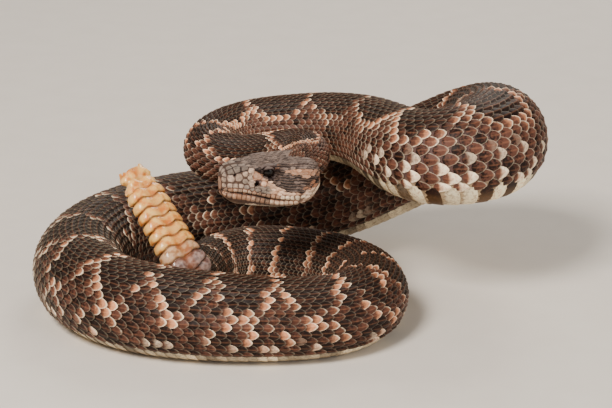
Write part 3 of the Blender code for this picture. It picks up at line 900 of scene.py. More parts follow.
def join_copies(name, shape, positions, marks, roots, finish):
    """One mesh of many placed copies of a shape, with their marks and their bake map."""
    flat, _, faces, form, base = shape
    count, size = positions.shape[:2]
    mesh = bpy.data.meshes.new(name)
    corners = np.array([corner for face in faces for corner in face])
    loops = (corners + np.arange(count)[:, None] * size).ravel()
    totals = np.tile([len(face) for face in faces], count)
    mesh.vertices.add(count * size)
    mesh.vertices.foreach_set("co", positions.astype(np.float32).ravel())
    mesh.loops.add(len(loops))
    mesh.loops.foreach_set("vertex_index", loops.astype(np.int32))
    mesh.polygons.add(len(totals))
    mesh.polygons.foreach_set("loop_start", (np.cumsum(totals) - totals).astype(np.int32))
    mesh.update(calc_edges=True)
    low = flat.min(axis=0)
    local = (flat - low) / (flat.max(axis=0) - low) - 0.5
    local[base:, 1] += 1.15
    patch = roots[:, None] + local[corners] * PATCH
    bake = mesh.uv_layers.new(name="OFBake")
    bake.data.foreach_set("uv", np.clip(patch, 0.0, 1.0).astype(np.float32).ravel())
    piece = bpy.data.objects.new(name, mesh)
    bpy.context.scene.collection.objects.link(piece)
    set_attribute(piece, "marks", np.repeat(marks, size, axis=0))
    set_attribute(piece, "form", np.tile(form, (count, 1)))
    mesh.shade_smooth()
    mesh.set_sharp_from_angle(angle=math.radians(48))
    mesh.materials.append(finish)
    return piece


def loop_cream(distance, elsewhere):
    """How cream the belly is at places along the raised loop, scute by scute."""
    index = np.floor((distance - LOOP_SCUTES_FROM) / LOOP_SCUTE).astype(int)
    on_loop = within(index, -1, len(LOOP_SCUTES))
    cream = np.array(LOOP_SCUTES)[np.clip(index, 0, len(LOOP_SCUTES) - 1)]
    return np.where(on_loop, cream, elsewhere)


def scale_step(distance):
    """The length of body that one scale of a row takes up."""
    return profile(SCALE_STEPS, distance / MM) * MM


def count_steps(start):
    """Places close together along the body, and how many scale steps lead to each."""
    fine = np.arange(start, body_length - TAIL_BARE, FINE_STEP)
    return fine, np.cumsum(FINE_STEP / scale_step(fine))


def scale_lattice():
    """Distance, angle and row of every back and flank scale: the rows widen toward the belly."""
    fine, counted = count_steps(FIRST_SCALE)
    distances = []
    rows = []
    for row in range(-ROWS_EACH_SIDE, ROWS_EACH_SIDE + 1):
        count = np.arange(0.5 * (row % 2), counted[-1])
        distances.append(np.interp(count, counted, fine))
        rows.append(np.full(len(count), row))
    row = np.concatenate(rows)
    angle = np.radians(row * (ROW_ANGLE + ROW_GROWTH * np.abs(row)))
    return np.concatenate(distances), angle, np.abs(row)


chance = np.random.default_rng(7)
leaf = leaf_shape()


def leaf_heights(size, lift, sunk, dome, keel):
    """The height of every point of many scales, from their tips' lift, dome and keel."""
    rise, arch, ridge, below = leaf[1].T
    height = lift * (1.15 * rise - 0.15) - sunk * size * (rise < 0.05)
    height = height + dome * arch + keel * ridge + size * SCALE_THICKNESS
    return np.where(below > 0, height - size * SCALE_THICKNESS * 1.6, height)


def lift_points(point, normal, height):
    """Points at their heights over a surface, one row of them for each copy of a shape."""
    return (point + normal * height.ravel()[:, None]).reshape(len(height), -1, 3)


def place_scales(distance, angle, pitch, width):
    """Positions of the points of every scale on the body."""
    flat = leaf[0]
    radius = along_route("radius", distance)
    stretch = np.clip(body_frame(distance, angle)[2], 0.18, 1.8)
    length = SCALE_LENGTH * pitch * np.clip(0.25 + 0.75 * stretch, 0.35, 1.04)
    length *= 1 + VARY_LENGTH * chance.standard_normal(len(distance))
    crowd = length / (pitch * stretch)
    raised = smooth_step(stretch, 0.25, 0.95)
    lift = np.maximum(TIP_LIFT * (0.3 + 0.7 * raised), 0.9 * SCALE_THICKNESS * crowd) * pitch
    lift *= 1 + VARY_LIFT * chance.standard_normal(len(distance))
    width = (width * (1.22 - 0.22 * raised))[:, None]
    yaw = (VARY_TURN * chance.standard_normal(len(distance)) * length)[:, None]
    at = distance[:, None] + (flat[:, 0] - 0.25) * (length / stretch)[:, None]
    across = flat[:, 1] * width + yaw * (flat[:, 0] - 0.3)
    at = np.minimum(at.ravel(), body_length + 0.8 * MM)
    turned = (angle[:, None] + across / radius[:, None]).ravel()
    point, normal, _ = body_frame(at, turned, np.repeat(skin_depth(distance), len(flat)))
    size = pitch[:, None]
    bulge = size * (0.25 + 0.75 * raised[:, None])
    height = leaf_heights(size, lift[:, None], ROOT_SUNK, 2 * DOME * bulge, KEEL * bulge)
    return lift_points(point, normal, height)


def build_scales(finish):
    """Every scale of the back and the flanks, in a few pieces one behind the other."""
    distance, angle, row = scale_lattice()
    pitch = scale_step(distance)
    place = distance + chance.normal(0.0, VARY_PLACE, len(distance)) * pitch
    width = 0.5 * SCALE_WIDTH * np.radians(ROW_ANGLE + 2 * ROW_GROWTH * row)
    width *= along_route("radius", distance) * np.where(row == ROWS_EACH_SIDE, 0.8, 1.0)
    positions = place_scales(distance, angle, pitch, width)
    turned = angle + chance.normal(0.0, VARY_ANGLE, len(distance))
    pale, warm, cream = markings(place, turned)
    luck = chance.random(len(distance))
    loop = smooth_step(distance / MM, *FLECKS_IN) * (1 - smooth_step(distance / MM, *FLECKS_OUT))
    low = loop * smooth_step(np.degrees(np.abs(angle)), *FLECKS_DOWN)
    fleck = low * (luck < 0.12 + 0.85 * low * (loop_cream(distance, 0.5) - 0.2))
    pale = np.maximum(pale * np.where(luck > 0.74, 0.5, 1.0), fleck)
    marks = table(pale, warm, np.maximum(cream, fleck), chance.random(len(distance)))
    roots = table(distance / body_length, angle / (2 * math.pi) + 0.5)
    order = np.argsort(distance, kind="stable")
    for n, part in enumerate(np.array_split(order, math.ceil(len(order) / SCALES_IN_A_PIECE))):
        name = f"back_scales_{n + 1}"
        piece = join_copies(name, leaf, positions[part], marks[part], roots[part], finish)
        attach(piece, "root")


build_scales(scale_material("horn_scale", 0.05 * MM, HORN_TONES))

# The belly scutes
# One broad smooth scute for each step of the scale rows crosses the belly from flank to flank.
# Each overlaps the next, with a thin free rear edge.
SCUTES_FROM = 20 * MM
SCUTE_SIDE = math.radians(122.5)
SCUTE_LENGTH = 1.45
SCUTE_LIFT = 0.09
SCUTE_ROWS = (0.0, 0.35, 0.7, 0.93, 1.0)
SCUTE_POINTS = 15
SCUTE_TONES = ((36, 21, 16), (72, 44, 32), (158, 106, 62), (224, 166, 96), (255, 243, 208))


def scute_shape():
    """One scute as a strip across the belly, in the same form as a leaf."""
    points = []
    heights = []
    form = []
    for a in SCUTE_ROWS:
        for v in np.linspace(-1.0, 1.0, SCUTE_POINTS).tolist():
            points.append((a * (1 - 0.28 * abs(v) ** 6) + 0.1 * v * v, v))
            heights.append((a, (1 - abs(v) ** 8) * 0.4, 0.0, 0.0))
            # Each scute is painted darker toward its front edge, partly as painted shade under the scute
            # before; it is pale on its rear edge and golden across its middle.
            golden = 0.7 * smooth_step(-abs(v), -0.86, -0.66)
            form.append((0.5 * smooth_step(a, 0.8, 1.0), 0.45 + 0.4 * a, golden, 1.0))
    size = (len(SCUTE_ROWS), SCUTE_POINTS)
    base = len(points)
    faces = grid_faces(*size) + [face[::-1] for face in grid_faces(*size, base)]
    edge = grid_edge(*size)
    for k, after in zip(edge, edge[1:] + edge[:1]):
        faces.append((after, k, base + k, base + after))
    for k in range(base):
        u, v = points[k]
        points.append((0.5 + (u - 0.5) * 0.98, v * 0.99))
        heights.append((*heights[k][:2], 0.0, 1.0))
        form.append(form[k])
    return np.array(points), np.array(heights), faces, np.array(form), base


def build_scutes(finish):
    """The belly's scutes, in one piece."""
    shape = scute_shape()
    flat, heights = shape[:2]
    fine, counted = count_steps(SCUTES_FROM)
    distance = np.interp(np.arange(0.25, counted[-1]), counted, fine)
    pitch = scale_step(distance)
    stretch = np.clip(body_frame(distance, np.full(len(distance), math.pi))[2], 0.3, 1.6)
    length = SCUTE_LENGTH * pitch * np.clip(stretch, 0.6, 1.1)
    at = (distance - 0.2 * pitch)[:, None] + flat[:, 0] * (length / stretch)[:, None]
    at = np.minimum(at.ravel(), body_length + 0.5 * MM)
    turned = np.tile(math.pi + flat[:, 1] * (math.pi - SCUTE_SIDE), len(distance))
    point, normal, _ = body_frame(at, turned, np.repeat(skin_depth(distance), len(flat)))
    rise, arch, _, below = heights.T
    shares = SCUTE_LIFT * (1.3 * rise - 0.3) + SCALE_THICKNESS * (arch - below)
    placed = lift_points(point, normal, pitch[:, None] * shares)
    clouds = 0.55 + 0.35 * np.sin(distance / MM / 3.1) * np.sin(distance / MM / 7.7 + 1)
    cream = loop_cream(distance + 0.5 * pitch, clouds)
    marks = table(0.04 + 0.70 * cream, 0.25 * cream, cream, chance.random(len(cream)))
    roots = table(distance / body_length, 0.5)
    piece = join_copies("belly_scutes", shape, placed, marks, roots, finish)
    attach(piece, "root")


build_scutes(scale_material("belly_scute", 0.03 * MM, SCUTE_TONES))

# The head's plates and scales
# Small keeled scales cover the crown, temples and cheeks. Smooth plates edge the lips, the snout
# and the pit, and one broad plate juts over each eye like a brow.
# Length of a small scale's step and half the spacing round the head, and their growth.
HEAD_STEP = (1.15, 0.013)
HEAD_SPACING = (0.80, 0.013)
HEAD_SCALES_FROM = 8.4
HEAD_SCALES_TO = 37.4
HEAD_SCALE_WIDTH = 1.12
HEAD_LIFT = 0.07
HEAD_ROOT_SUNK = 0.06
LABIALS = 16
LABIAL_START = -0.2
LABIAL_END = 27.4
LABIAL_OVERLAP = 1.2
# The plates of the upper and the lower lip: shift back, row, height and tilt.
LIPS = ((0.0, 7.95, 2.5, 8), (-0.4, 10.4, 2.4, -10))
PLATE_POWER = 3.0
PLATE_GAP = 0.03
PLATE_RELIEF = 0.18
PLATE_DOME = 0.10
PLATE_ABOVE = 2.5
PLATE_NEAR = 8.0
PLATE_SPREAD = 1.12
PLATE_SIDES = 26
PLATE_RINGS = ((0.4, 1.0), (0.72, 0.95), (0.9, 0.7), (1.0, 0.2))
# Each plate: distance back, row round the head, length, width and tilt in degrees.
SNOUT_PLATES = (
    (0.4, 0.9, 2.4, 2.6, 0),
    (2.6, 1.0, 2.6, 3.0, 0),
    (0.4, 2.9, 2.2, 2.6, 0),
    (2.7, 3.0, 2.8, 2.6, 0),
    (5.0, 2.35, 3.6, 3.0, -4),
    (4.7, 0.75, 3.0, 2.6, 0),
    (7.9, 2.5, 3.2, 2.6, -4),
    (7.4, 1.0, 2.8, 2.6, 0),
    (0.3, 4.9, 2.4, 2.8, 8),
    (2.7, 4.85, 3.0, 3.2, 8),
    (5.6, 4.85, 3.0, 3.1, 4),
    (8.1, 4.3, 2.3, 2.3, 0),
    (7.9, 5.55, 2.2, 1.9, 0),
    (10.3, 3.7, 2.6, 2.2, 0),
    (9.9, 5.0, 2.1, 2.0, 0),
    (0.3, 6.5, 2.0, 2.0, 4),
    (2.2, 6.4, 2.2, 2.0, 4),
    (4.2, 6.4, 2.3, 2.0, 4),
    (6.2, 6.4, 2.3, 1.9, 4),
    (8.2, 6.6, 2.2, 1.7, 4),
    (13.2, 3.7, 3.2, 1.7, 10),
    (12.6, 4.8, 4.0, 2.6, 10),
    (10.3, 6.15, 2.2, 2.1, 0),
    (14.8, 6.0, 2.1, 2.0, 20),
    (12.3, 7.0, 2.6, 1.5, 0),
    (10.3, 7.0, 2.0, 1.4, 0),
    (14.6, 7.05, 2.2, 1.5, 0),
    (15.6, 5.15, 1.9, 1.5, 24),
    (17.3, 5.4, 2.0, 1.3, 4),
    (19.1, 5.0, 1.9, 1.4, -30),
    (20.0, 4.1, 1.8, 1.5, -60),
)
BROW = (16.4, 2.3, 8.6, 3.7, -5)
# How far the brow is turned up to the level, and how strongly it takes the crown's colour.
BROW_LEVEL = 0.8
BROW_SHARE = 1.1
# The two plates at the tip of the snout: back, out, up, width and height; then their marks.
ROSTRAL = (-0.7, 0.0, -1.5, 3.8, 5.0)
MENTAL = (-0.5, 0.0, -5.9, 2.8, 2.0)
SNOUT_TIP = (0.42, 0.45, 0.12, 0.5)
# The nostril and the pit, which keep the plates clear, and the shields under the chin.
OPENINGS = ((4.2, 4.5, 1.0, 1.0, 0), (12.3, 5.95, 2.1, 1.9, 0))
HEAD_TONES = ((38, 28, 26), (100, 86, 81), (150, 94, 60), (216, 180, 156), (255, 238, 208))
CHIN_SHIELDS = ((5.2, 13.0, 6.0, 2.6, 0), (10.2, 13.1, 4.2, 2.2, 0))


def head_frame(back, row):
    """Point, outward normal, and millimetres for each row, at places on the head."""
    point = head_surface(back, row)
    behind = head_surface(back + 0.15, row) - point
    around = head_surface(back, (row + ROW_NUDGE) % HEAD_ROWS) - point
    normal = unit(np.cross(around, behind))
    normal *= np.sign(dot(normal, point - table(np.clip(back, 4.0, 34.0), 0.0, -1.5)))
    return point, normal, np.linalg.norm(around, axis=-1) / ROW_NUDGE


def head_lattice():
    """Places of the small scales, evenly spaced over the head in staggered rings."""
    rows = np.linspace(0.0, HEAD_ROWS / 2, 281)
    backs = []
    places_round = []
    back = HEAD_SCALES_FROM
    while back < HEAD_SCALES_TO:
        arc = length_along(head_surface(np.full(len(rows), back), rows))
        width = HEAD_SPACING[0] + HEAD_SPACING[1] * back
        first = width * (len(backs) % 2)
        row = np.interp(np.arange(first, arc[-1], 2 * width), arc, rows)
        row = np.concatenate([row, -row[row > 0.01]]) % HEAD_ROWS
        backs.append(np.full(len(row), back))
        places_round.append(row)
        back += 0.5 * (HEAD_STEP[0] + HEAD_STEP[1] * back)
    return np.concatenate(backs), np.concatenate(places_round)


def clear_of_plates(back, folded):
    """True where a small scale has room beside the plates, the eye and the lips."""
    rear = (back > 28.0) & (folded < 14)
    free = (folded < LIP_FROM) | rear | (folded > LIP_TO)
    spots = np.array((*SNOUT_PLATES, BROW))
    points = head_surface(back, folded)
    for centre, (_, _, length, width, _) in zip(head_surface(*spots.T[:2]), spots):
        gap = np.abs(points - centre)
        reach = np.hypot(gap[:, 0] / length, np.hypot(gap[:, 1], gap[:, 2]) / width)
        free &= reach > 0.46
    free &= np.hypot((back - EYE["back"]) / 2.4, (folded - 4.0) / 1.2) > 1.0
    return free & (np.hypot((back - PIT["back"]) / 1.1, (folded - 5.9) / 0.55) > 1.0)


def head_roots(back, row):
    """Places on the bake map for scales and plates of the head."""
    return table(0.02 + 0.96 * back / HEAD_LENGTH, 0.02 + 0.96 * row / HEAD_ROWS)


def build_head_scales(finish):
    """The small scales of the crown, temples, cheeks and chin, in a piece for each side."""
    back, row = head_lattice()
    free = clear_of_plates(back, np.minimum(row, HEAD_ROWS - row))
    back = back[free]
    row = row[free]
    count = len(back)
    flat = leaf[0]
    step = HEAD_STEP[0] + HEAD_STEP[1] * back
    width = 0.5 * HEAD_SCALE_WIDTH * (HEAD_SPACING[0] + HEAD_SPACING[1] * back)
    _, _, per_row = head_frame(back, row)
    length = SCALE_LENGTH * step * (1 + 0.06 * chance.standard_normal(count))
    yaw = (0.10 * chance.standard_normal(count) * length)[:, None]
    at = back[:, None] + (flat[:, 0] - 0.3) * length[:, None]
    across = flat[:, 1] * width[:, None] + yaw * (flat[:, 0] - 0.4)
    turned = ((row[:, None] + across / per_row[:, None]) % HEAD_ROWS).ravel()
    point, normal, _ = head_frame(np.minimum(at.ravel(), HEAD_LENGTH - 0.05), turned)
    under = np.minimum(row, HEAD_ROWS - row) > 11.5
    keeled = np.where(under, 0.0, smooth_step(back, 8.0, 18.0) * 0.9 + 0.1)[:, None]
    size = step[:, None]
    height = leaf_heights(size, HEAD_LIFT * size, HEAD_ROOT_SUNK, DOME * size, KEEL * keeled * size)
    placed = from_head(lift_points(point, normal, height))
    pale, warm, cream = head_marks(back + chance.normal(0.0, 0.25, count), row)
    pale = np.clip(pale + chance.normal(0.0, 0.10, count), 0.0, 1.0)
    marks = table(pale, warm, cream, chance.random(count))
    roots = head_roots(back, row)
    # The head's scales get half the pale edge, less of the painted shade at their roots, and a stronger tan
    # keel line, a painted highlight.
    calm = leaf[3] * (0.5, 0.3, 2.2, 1.0) + (0.0, 0.5, 0.0, 0.0)
    head_leaf = (*leaf[:3], calm, leaf[4])
    for name, part in (("near", row <= 14), ("far", row > 14)):
        name = "head_scales_" + name
        piece = join_copies(name, head_leaf, placed[part], marks[part], roots[part], finish)
        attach(piece, "root")


def plate_shape():
    """A disc of rings round a middle point, in the same form as a leaf."""
    turn = np.linspace(0.0, 2 * math.pi, PLATE_SIDES, endpoint=False)
    rings = [*PLATE_RINGS, (0.97, -1.0)]
    points = [(0.0, 0.0)]
    heights = [(0.0, 1.0, 0.0, 0.0)]
    form = [(0.0, 0.75, 0.0, 1.0)]
    # The rim rings carry a lower second form value than the top, so each plate is painted darker toward its
    # edge, partly as painted shade in the gap round it.
    for n, (size, high) in enumerate(rings):
        below = float(n == len(rings) - 1)
        for angle in turn:
            points.append((size * math.cos(angle), size * math.sin(angle)))
            heights.append((0.0, high, 0.0, below))
            form.append((0.0, 0.72 if high > 0.9 else 0.5 * max(high, 0.0), 0.0, 1.0))
    points.append((0.0, 0.0))
    heights.append((0.0, -1.0, 0.0, 1.0))
    form.append((0.0, 0.5, 0.0, 1.0))
    faces = []
    last = len(points) - 1
    for k in range(PLATE_SIDES):
        after = (k + 1) % PLATE_SIDES
        faces.append((0, 1 + k, 1 + after))
        for n in range(len(rings) - 1):
            low = 1 + n * PLATE_SIDES
            high = low + PLATE_SIDES
            faces.append((low + k, high + k, high + after, low + after))
        low = 1 + (len(rings) - 1) * PLATE_SIDES
        faces.append((low + k, last, low + after))
    base = 1 + len(PLATE_RINGS) * PLATE_SIDES
    return np.array(points), np.array(heights), faces, np.array(form), base


def plate_reach(sizes, turn):
    """How far a plate of this length and width reaches in a direction."""
    length, width = sizes
    along = np.abs(np.cos(turn) / (0.5 * length)) ** PLATE_POWER
    across = np.abs(np.sin(turn) / (0.5 * width)) ** PLATE_POWER
    return (along + across) ** (-1 / PLATE_POWER)


def lay_plate(tree, plates, own):
    """One plate pressed on the skin, cut back to leave a narrow gap beside its neighbours."""
    centre, normal, along, sizes = plates[own]
    across = np.cross(normal, along)
    turn = np.linspace(0.0, 2 * math.pi, PLATE_SIDES, endpoint=False)
    reach = PLATE_SPREAD * plate_reach(sizes, turn)
    for n, (other, other_normal, other_along, other_sizes) in enumerate(plates):
        gap = other - centre
        far = np.linalg.norm(gap)
        if n == own or far > PLATE_NEAR:
            continue
        toward = math.atan2(gap @ across, gap @ along)
        there = math.atan2(-gap @ np.cross(other_normal, other_along), -gap @ other_along)
        mine = plate_reach(sizes, toward)
        yours = plate_reach(other_sizes, there)
        border = far * mine / (mine + yours) - 0.5 * PLATE_GAP
        facing = np.cos(turn - toward)
        cut = np.minimum(reach, border / np.maximum(facing, 0.05))
        reach = np.where(facing > 0.05, cut, reach)
    flat, heights = plate[:2]
    reach = np.concatenate([[0.0], np.tile(reach, len(PLATE_RINGS) + 1), [0.0]])
    down = Vector(from_head(centre - normal) - from_head(centre)).normalized()
    placed = []
    for (u, v), high, size in zip(flat, heights[:, 1], reach):
        level = centre + (along * u + across * v) * size
        start = Vector(from_head(level + normal * PLATE_ABOVE))
        hit = tree.ray_cast(start, down, 6 * MM)[0]
        sunk = from_head(level) if hit is None else np.array(hit)
        height = PLATE_RELIEF * high
        if high >= 0.9:
            height = PLATE_RELIEF + PLATE_DOME * (1 - u * u) * (1 - v * v)
        placed.append(sunk - np.array(down) * height * MM)
    return np.array(placed)


def build_head_plates(finish):
    """The plates of the brows, the snout, the lips and the chin, in one piece."""
    tree = BVHTree.FromObject(skin, bpy.context.evaluated_depsgraph_get())
    spots = [BROW, *SNOUT_PLATES, *CHIN_SHIELDS]
    pitch = (LABIAL_END - LABIAL_START) / LABIALS
    for i in range(LABIALS):
        back = LABIAL_START + (i + 0.5) * pitch
        spots += [(back + shift, row, pitch * LABIAL_OVERLAP, *size) for shift, row, *size in LIPS]
    plates = []
    shown = []
    marks = []
    roots = []
    for side in (1, -1):
        for spot in (*spots, *OPENINGS):
            back, row, length, width, tilt = spot
            place = (np.array([back]), np.array([(side * row) % HEAD_ROWS]))
            centre, normal, _ = head_frame(*place)
            normal = unit(normal + (0.0, 0.0, BROW_LEVEL * (spot == BROW)))[0]
            angle = math.radians(tilt)
            along = np.array((math.cos(angle), 0.0, -math.sin(angle)))
            along = unit(along - normal * (along @ normal))
            plates.append((centre[0], normal, along, (length, width)))
            if spot in OPENINGS:
                continue
            shown.append(len(plates) - 1)
            pale, warm, cream = head_marks(*place)[:, 0]
            share = chance.uniform(0.7, 1.15)
            if spot == BROW:
                pale, warm, cream = CROWN
                share = BROW_SHARE
            marks.append((pale * share, warm * share, cream, chance.random()))
            roots.append(head_roots(*place)[0])
    for n, (back, out, up, width, height) in enumerate((ROSTRAL, MENTAL)):
        normal = unit(np.array((-1.0, 0.0, 0.12 - 0.3 * n)))
        along = unit(np.cross(normal, np.array((0.0, 1.0, 0.0))))
        shown.append(len(plates))
        plates.append((np.array((back, out, up)), normal, along, (height, width)))
        marks.append(SNOUT_TIP)
        roots.append((0.01, 0.3 + 0.2 * n))
    placed = np.array([lay_plate(tree, plates, own) for own in shown])
    piece = join_copies("head_plates", plate, placed, np.array(marks), np.array(roots), finish)
    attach(piece, "root")


plate = plate_shape()
head_finish = scale_material("head_horn", 0.04 * MM, HEAD_TONES)
build_head_scales(head_finish)
build_head_plates(head_finish)

# The eyes
# Each eye is a smooth ball with a thin clear coat for its fixed scale. The iris is dark bronze,
# flecked, with an upright slit for a pupil.
EYE_RADIUS = 2.45
EYE_RINGS = 40
PUPIL = (0.30, 0.82)


def make_eye_finish():
    """Wet, dark bronze with flecks, and a black slit."""
    material, tree, shader = new_finish("dark_eye")
    slit, rim, _, _ = carried(tree, "form")
    flecks = step_up(tree, noise(tree, 5200.0, 4.0), 0.42, 0.72)
    iris = blend_colours(tree, flecks, colour(10, 7, 5), colour(36, 22, 14))
    iris = blend_colours(tree, step_up(tree, rim, 0.55, 0.95), iris, colour(14, 10, 9))
    wire(tree, shader, {
        "Base Color": blend_colours(tree, slit, iris, colour(3, 3, 3)),
        "Roughness": 0.12,
        "Specular IOR Level": 0.18,
        "Coat Weight": 0.2,
        "Coat Roughness": 0.03,
    })
    return material


def build_eye(name, side, finish):
    """A ball with the pupil and the iris marked by the direction of each point from its middle."""
    turn = np.linspace(0.0, math.pi, EYE_RINGS)[1:-1]
    turn, around = grid(turn, np.linspace(0.0, 2 * math.pi, 2 * EYE_RINGS, endpoint=False))
    out = np.cos(turn)
    back = np.sin(turn) * np.cos(around)
    up = np.sin(turn) * np.sin(around)
    middle = np.array([EYE["back"], side * EYE["out"], EYE["up"]])
    points = from_head(middle + table(back, side * out, up) * EYE_RADIUS)
    piece = make_mesh(name + "_ball", points, tube_faces(EYE_RINGS - 2, 2 * EYE_RINGS))
    wide, tall = PUPIL
    slit = smooth_step(-np.hypot((back + 0.12) / wide, up / tall), -1.12, -0.88) * (out > 0)
    set_attribute(piece, "form", table(slit, np.hypot(back, up), 0.0, 1.0))
    piece.data.shade_smooth()
    piece.data.materials.append(finish)
    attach(piece, "root")
    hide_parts(name)


eye_finish = make_eye_finish()
build_eye("eye_near", 1, eye_finish)
build_eye("eye_far", -1, eye_finish)

# The rattle
# The rattle is a string of hollow horn segments, each a flattened ring of two lobes that slips
# over the root of the next. A groove runs down both broad faces. The oldest one is broken off.
RATTLE_SEGMENTS = 9
RATTLE_PITCH = 4.6 * MM
RATTLE_WIDTH = 18.4 * MM
RATTLE_NARROWING = 0.014
RATTLE_THICKNESS = 0.54
RATTLE_GROOVE = 0.17
RATTLE_GROOVE_WIDTH = 0.24
RATTLE_SECOND_GROOVE = 0.05
RATTLE_WAVE = 0.10
RATTLE_SIDES = 96
RATTLE_PROFILE = ((0.0, 0.85), (0.04, 0.89), (0.09, 0.965), (0.18, 0.995), (0.35, 1.0), (0.62, 0.975))
RATTLE_PROFILE += ((0.78, 0.945), (0.88, 0.89), (0.95, 0.85))
RATTLE_AXIS = unit(np.array((-0.50, 0.52, 0.70)))
RATTLE_ACROSS = unit(np.array((0.79, 0.61, 0.06)))
RATTLE_TURN = 14 * MM
RATTLE_GAP = 0.15 * MM
TIP_WIDTH = 0.76
TIP_PROFILE = ((0.0, 0.9), (0.12, 0.99), (0.35, 1.0), (0.6, 0.96), (0.8, 0.84), (0.92, 0.80), (1.05, 0.84))
TIP_PROFILE += ((1.2, 0.93), (1.5, 0.92), (1.75, 0.84), (1.95, 0.78))
TIP_WALL = 1.1 * MM
TIP_LUMPS = 0.08
BROKEN_EDGE = 1.2 * MM
# Rings down the hollow inside of the tip: how deep each lies and how thick the wall is there.
TIP_INSIDE = ((0.0, 1.0), (1.0 * MM, 1.0), (3.0 * MM, 1.3), (4.6 * MM, 4.0))
RATTLE_STEPS = 6


def rattle_axis(ahead, distance):
    """The rattle's direction, which turns from that of the tail to its own."""
    turned = smooth_step(distance, 0.0, RATTLE_TURN)
    angle = math.acos(float(ahead @ RATTLE_AXIS))
    turning = math.sin((1 - turned) * angle) * ahead + math.sin(turned * angle) * RATTLE_AXIS
    return turning / math.sin(angle)


def rattle_ring(centre, axis, across, width, inset=0.0):
    """A two lobed section: flattened, with a groove down the middle of both broad faces."""
    thin = np.cross(axis, across)
    angle = np.linspace(0.0, 2 * math.pi, RATTLE_SIDES, endpoint=False)
    wide = np.sign(np.cos(angle)) * np.abs(np.cos(angle)) ** 0.8
    deep = np.sign(np.sin(angle)) * np.abs(np.sin(angle)) ** 0.7
    deep *= 1 - RATTLE_GROOVE * np.exp(-((wide / RATTLE_GROOVE_WIDTH) ** 2))
    deep *= 1 - RATTLE_SECOND_GROOVE * np.exp(-(((np.abs(wide) - 0.6) / 0.1) ** 2))
    half = 0.5 * width - inset
    deep *= half * RATTLE_THICKNESS
    return centre + across * (half * wide)[:, None] + thin * deep[:, None], angle


def rattle_stations():
    """Distance from the tail, width, age and groove mark of every ring of the rattle."""
    stations = [(0.0, 0.8 * RATTLE_WIDTH, 0.0, 0.3)]
    for i in range(RATTLE_SEGMENTS):
        width = RATTLE_WIDTH * (1 - RATTLE_NARROWING * i)
        age = i / RATTLE_SEGMENTS
        for along, size in RATTLE_PROFILE:
            low = smooth_step(size, 0.97, 0.84)
            stations.append(((i + 0.25 + along) * RATTLE_PITCH, width * size, age, low))
    for along, size in TIP_PROFILE:
        distance = (RATTLE_SEGMENTS + 0.25 + along) * RATTLE_PITCH
        stations.append((distance, RATTLE_WIDTH * TIP_WIDTH * size, 1.0, 0.35 * smooth_step(size, 0.95, 0.7)))
    return stations


def build_rattle(finish):
    """The rattle bends up out of the end of the tail, then runs straight to its broken tip."""
    ahead = along_route("ahead", body_length)
    centre = along_route("centre", body_length) + ahead * RATTLE_GAP
    reached = 0.0
    points = []
    form = []
    for distance, width, age, low in rattle_stations():
        step = (distance - reached) / RATTLE_STEPS
        for i in range(RATTLE_STEPS):
            centre = centre + rattle_axis(ahead, reached + step * (i + 0.5)) * step
        reached = distance
        axis = rattle_axis(ahead, distance)
        across = unit(RATTLE_ACROSS - axis * (RATTLE_ACROSS @ axis))
        ring, angle = rattle_ring(centre, axis, across, width)
        wave = -np.cos(2 * math.pi * np.cos(angle)) * smooth_step(distance, 0.0, RATTLE_TURN)
        wave = axis * (RATTLE_WAVE * RATTLE_PITCH * wave)[:, None]
        ring = ring + wave
        if age == 1.0:
            lumps = 1 + TIP_LUMPS * np.sin(3 * angle + distance / MM)
            ring = centre + (ring - centre) * lumps[:, None]
        points.append(ring)
        form.append(table(low, age, np.exp(-((np.cos(angle) / 0.22) ** 2)), 1.0))
    ragged = np.sin(5 * angle) * np.cos(2 * angle + 1) + 0.25 * np.sin(9 * angle + 2)
    ragged = axis * (BROKEN_EDGE * ragged)[:, None]
    points[-1] = points[-1] + ragged
    for depth, wall in TIP_INSIDE:
        narrowed = width * (1 - 0.1 * (depth > 0))
        inner, angle = rattle_ring(centre - axis * depth, axis, across, narrowed, wall * TIP_WALL)
        points.append(inner + wave + ragged * (depth == 0))
        # The inside of the hollow tip is painted darker the deeper it lies: painted shade.
        dark = smooth_step(depth, -0.5 * MM, 2 * MM)
        form.append(table(dark + 0 * angle, 1.0, 0.0, 1.0))
    faces = tube_faces(len(points), RATTLE_SIDES)
    piece = make_mesh("rattle_segments", np.concatenate(points), faces)
    set_attribute(piece, "form", np.concatenate(form))
    piece.data.shade_smooth()
    piece.data.set_sharp_from_angle(angle=math.radians(60))
    piece.data.materials.append(finish)
    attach(piece, "root")
    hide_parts("rattle")


def make_horn():
    """Straw coloured horn, browner in the grooves and toward the tail, with fine growth lines and painted
    shade inside the hollow tip.
    """
    material, tree, shader = new_finish("rattle_horn")
    low, age, seam, _ = carried(tree, "form")
    cloud = noise(tree, 330.0, 4.0)
    grain = noise(tree, 2600.0, 3.0)
    old = step_up(tree, cloud, 0.30, 0.60)
    old = blend_colours(tree, old, colour(222, 132, 52), colour(255, 200, 116))
    young = step_up(tree, cloud, 0.4, 0.6)
    young = blend_colours(tree, young, colour(104, 80, 76), colour(188, 158, 148))
    horn = blend_colours(tree, step_up(tree, age, 0.12, 0.36), young, old)
    # Darker brown in the grooves, and inside the hollow tip as painted shade.
    dark_grooves_and_hollow_shade = combine(tree, low, step_up(tree, grain, 0.2, 0.8, 0.8, 1.05))
    horn = blend_colours(tree, combine(tree, dark_grooves_and_hollow_shade, 0.95), horn, colour(92, 48, 24))
    relief = {"Strength": 0.25, "Distance": 0.12 * MM, "Height": grain}
    wire(tree, shader, {
        "Base Color": blend_colours(tree, combine(tree, seam, 0.35), horn, colour(190, 106, 44)),
        "Roughness": step_up(tree, grain, 0.3, 0.7, 0.26, 0.42),
        "Normal": add(tree, "Bump", relief).outputs[0],
        "Coat Weight": 0.3,
        "Coat Roughness": 0.15,
        "Subsurface Weight": 0.12,
        "Subsurface Scale": 1.5 * MM,
    })
    return material


build_rattle(make_horn())

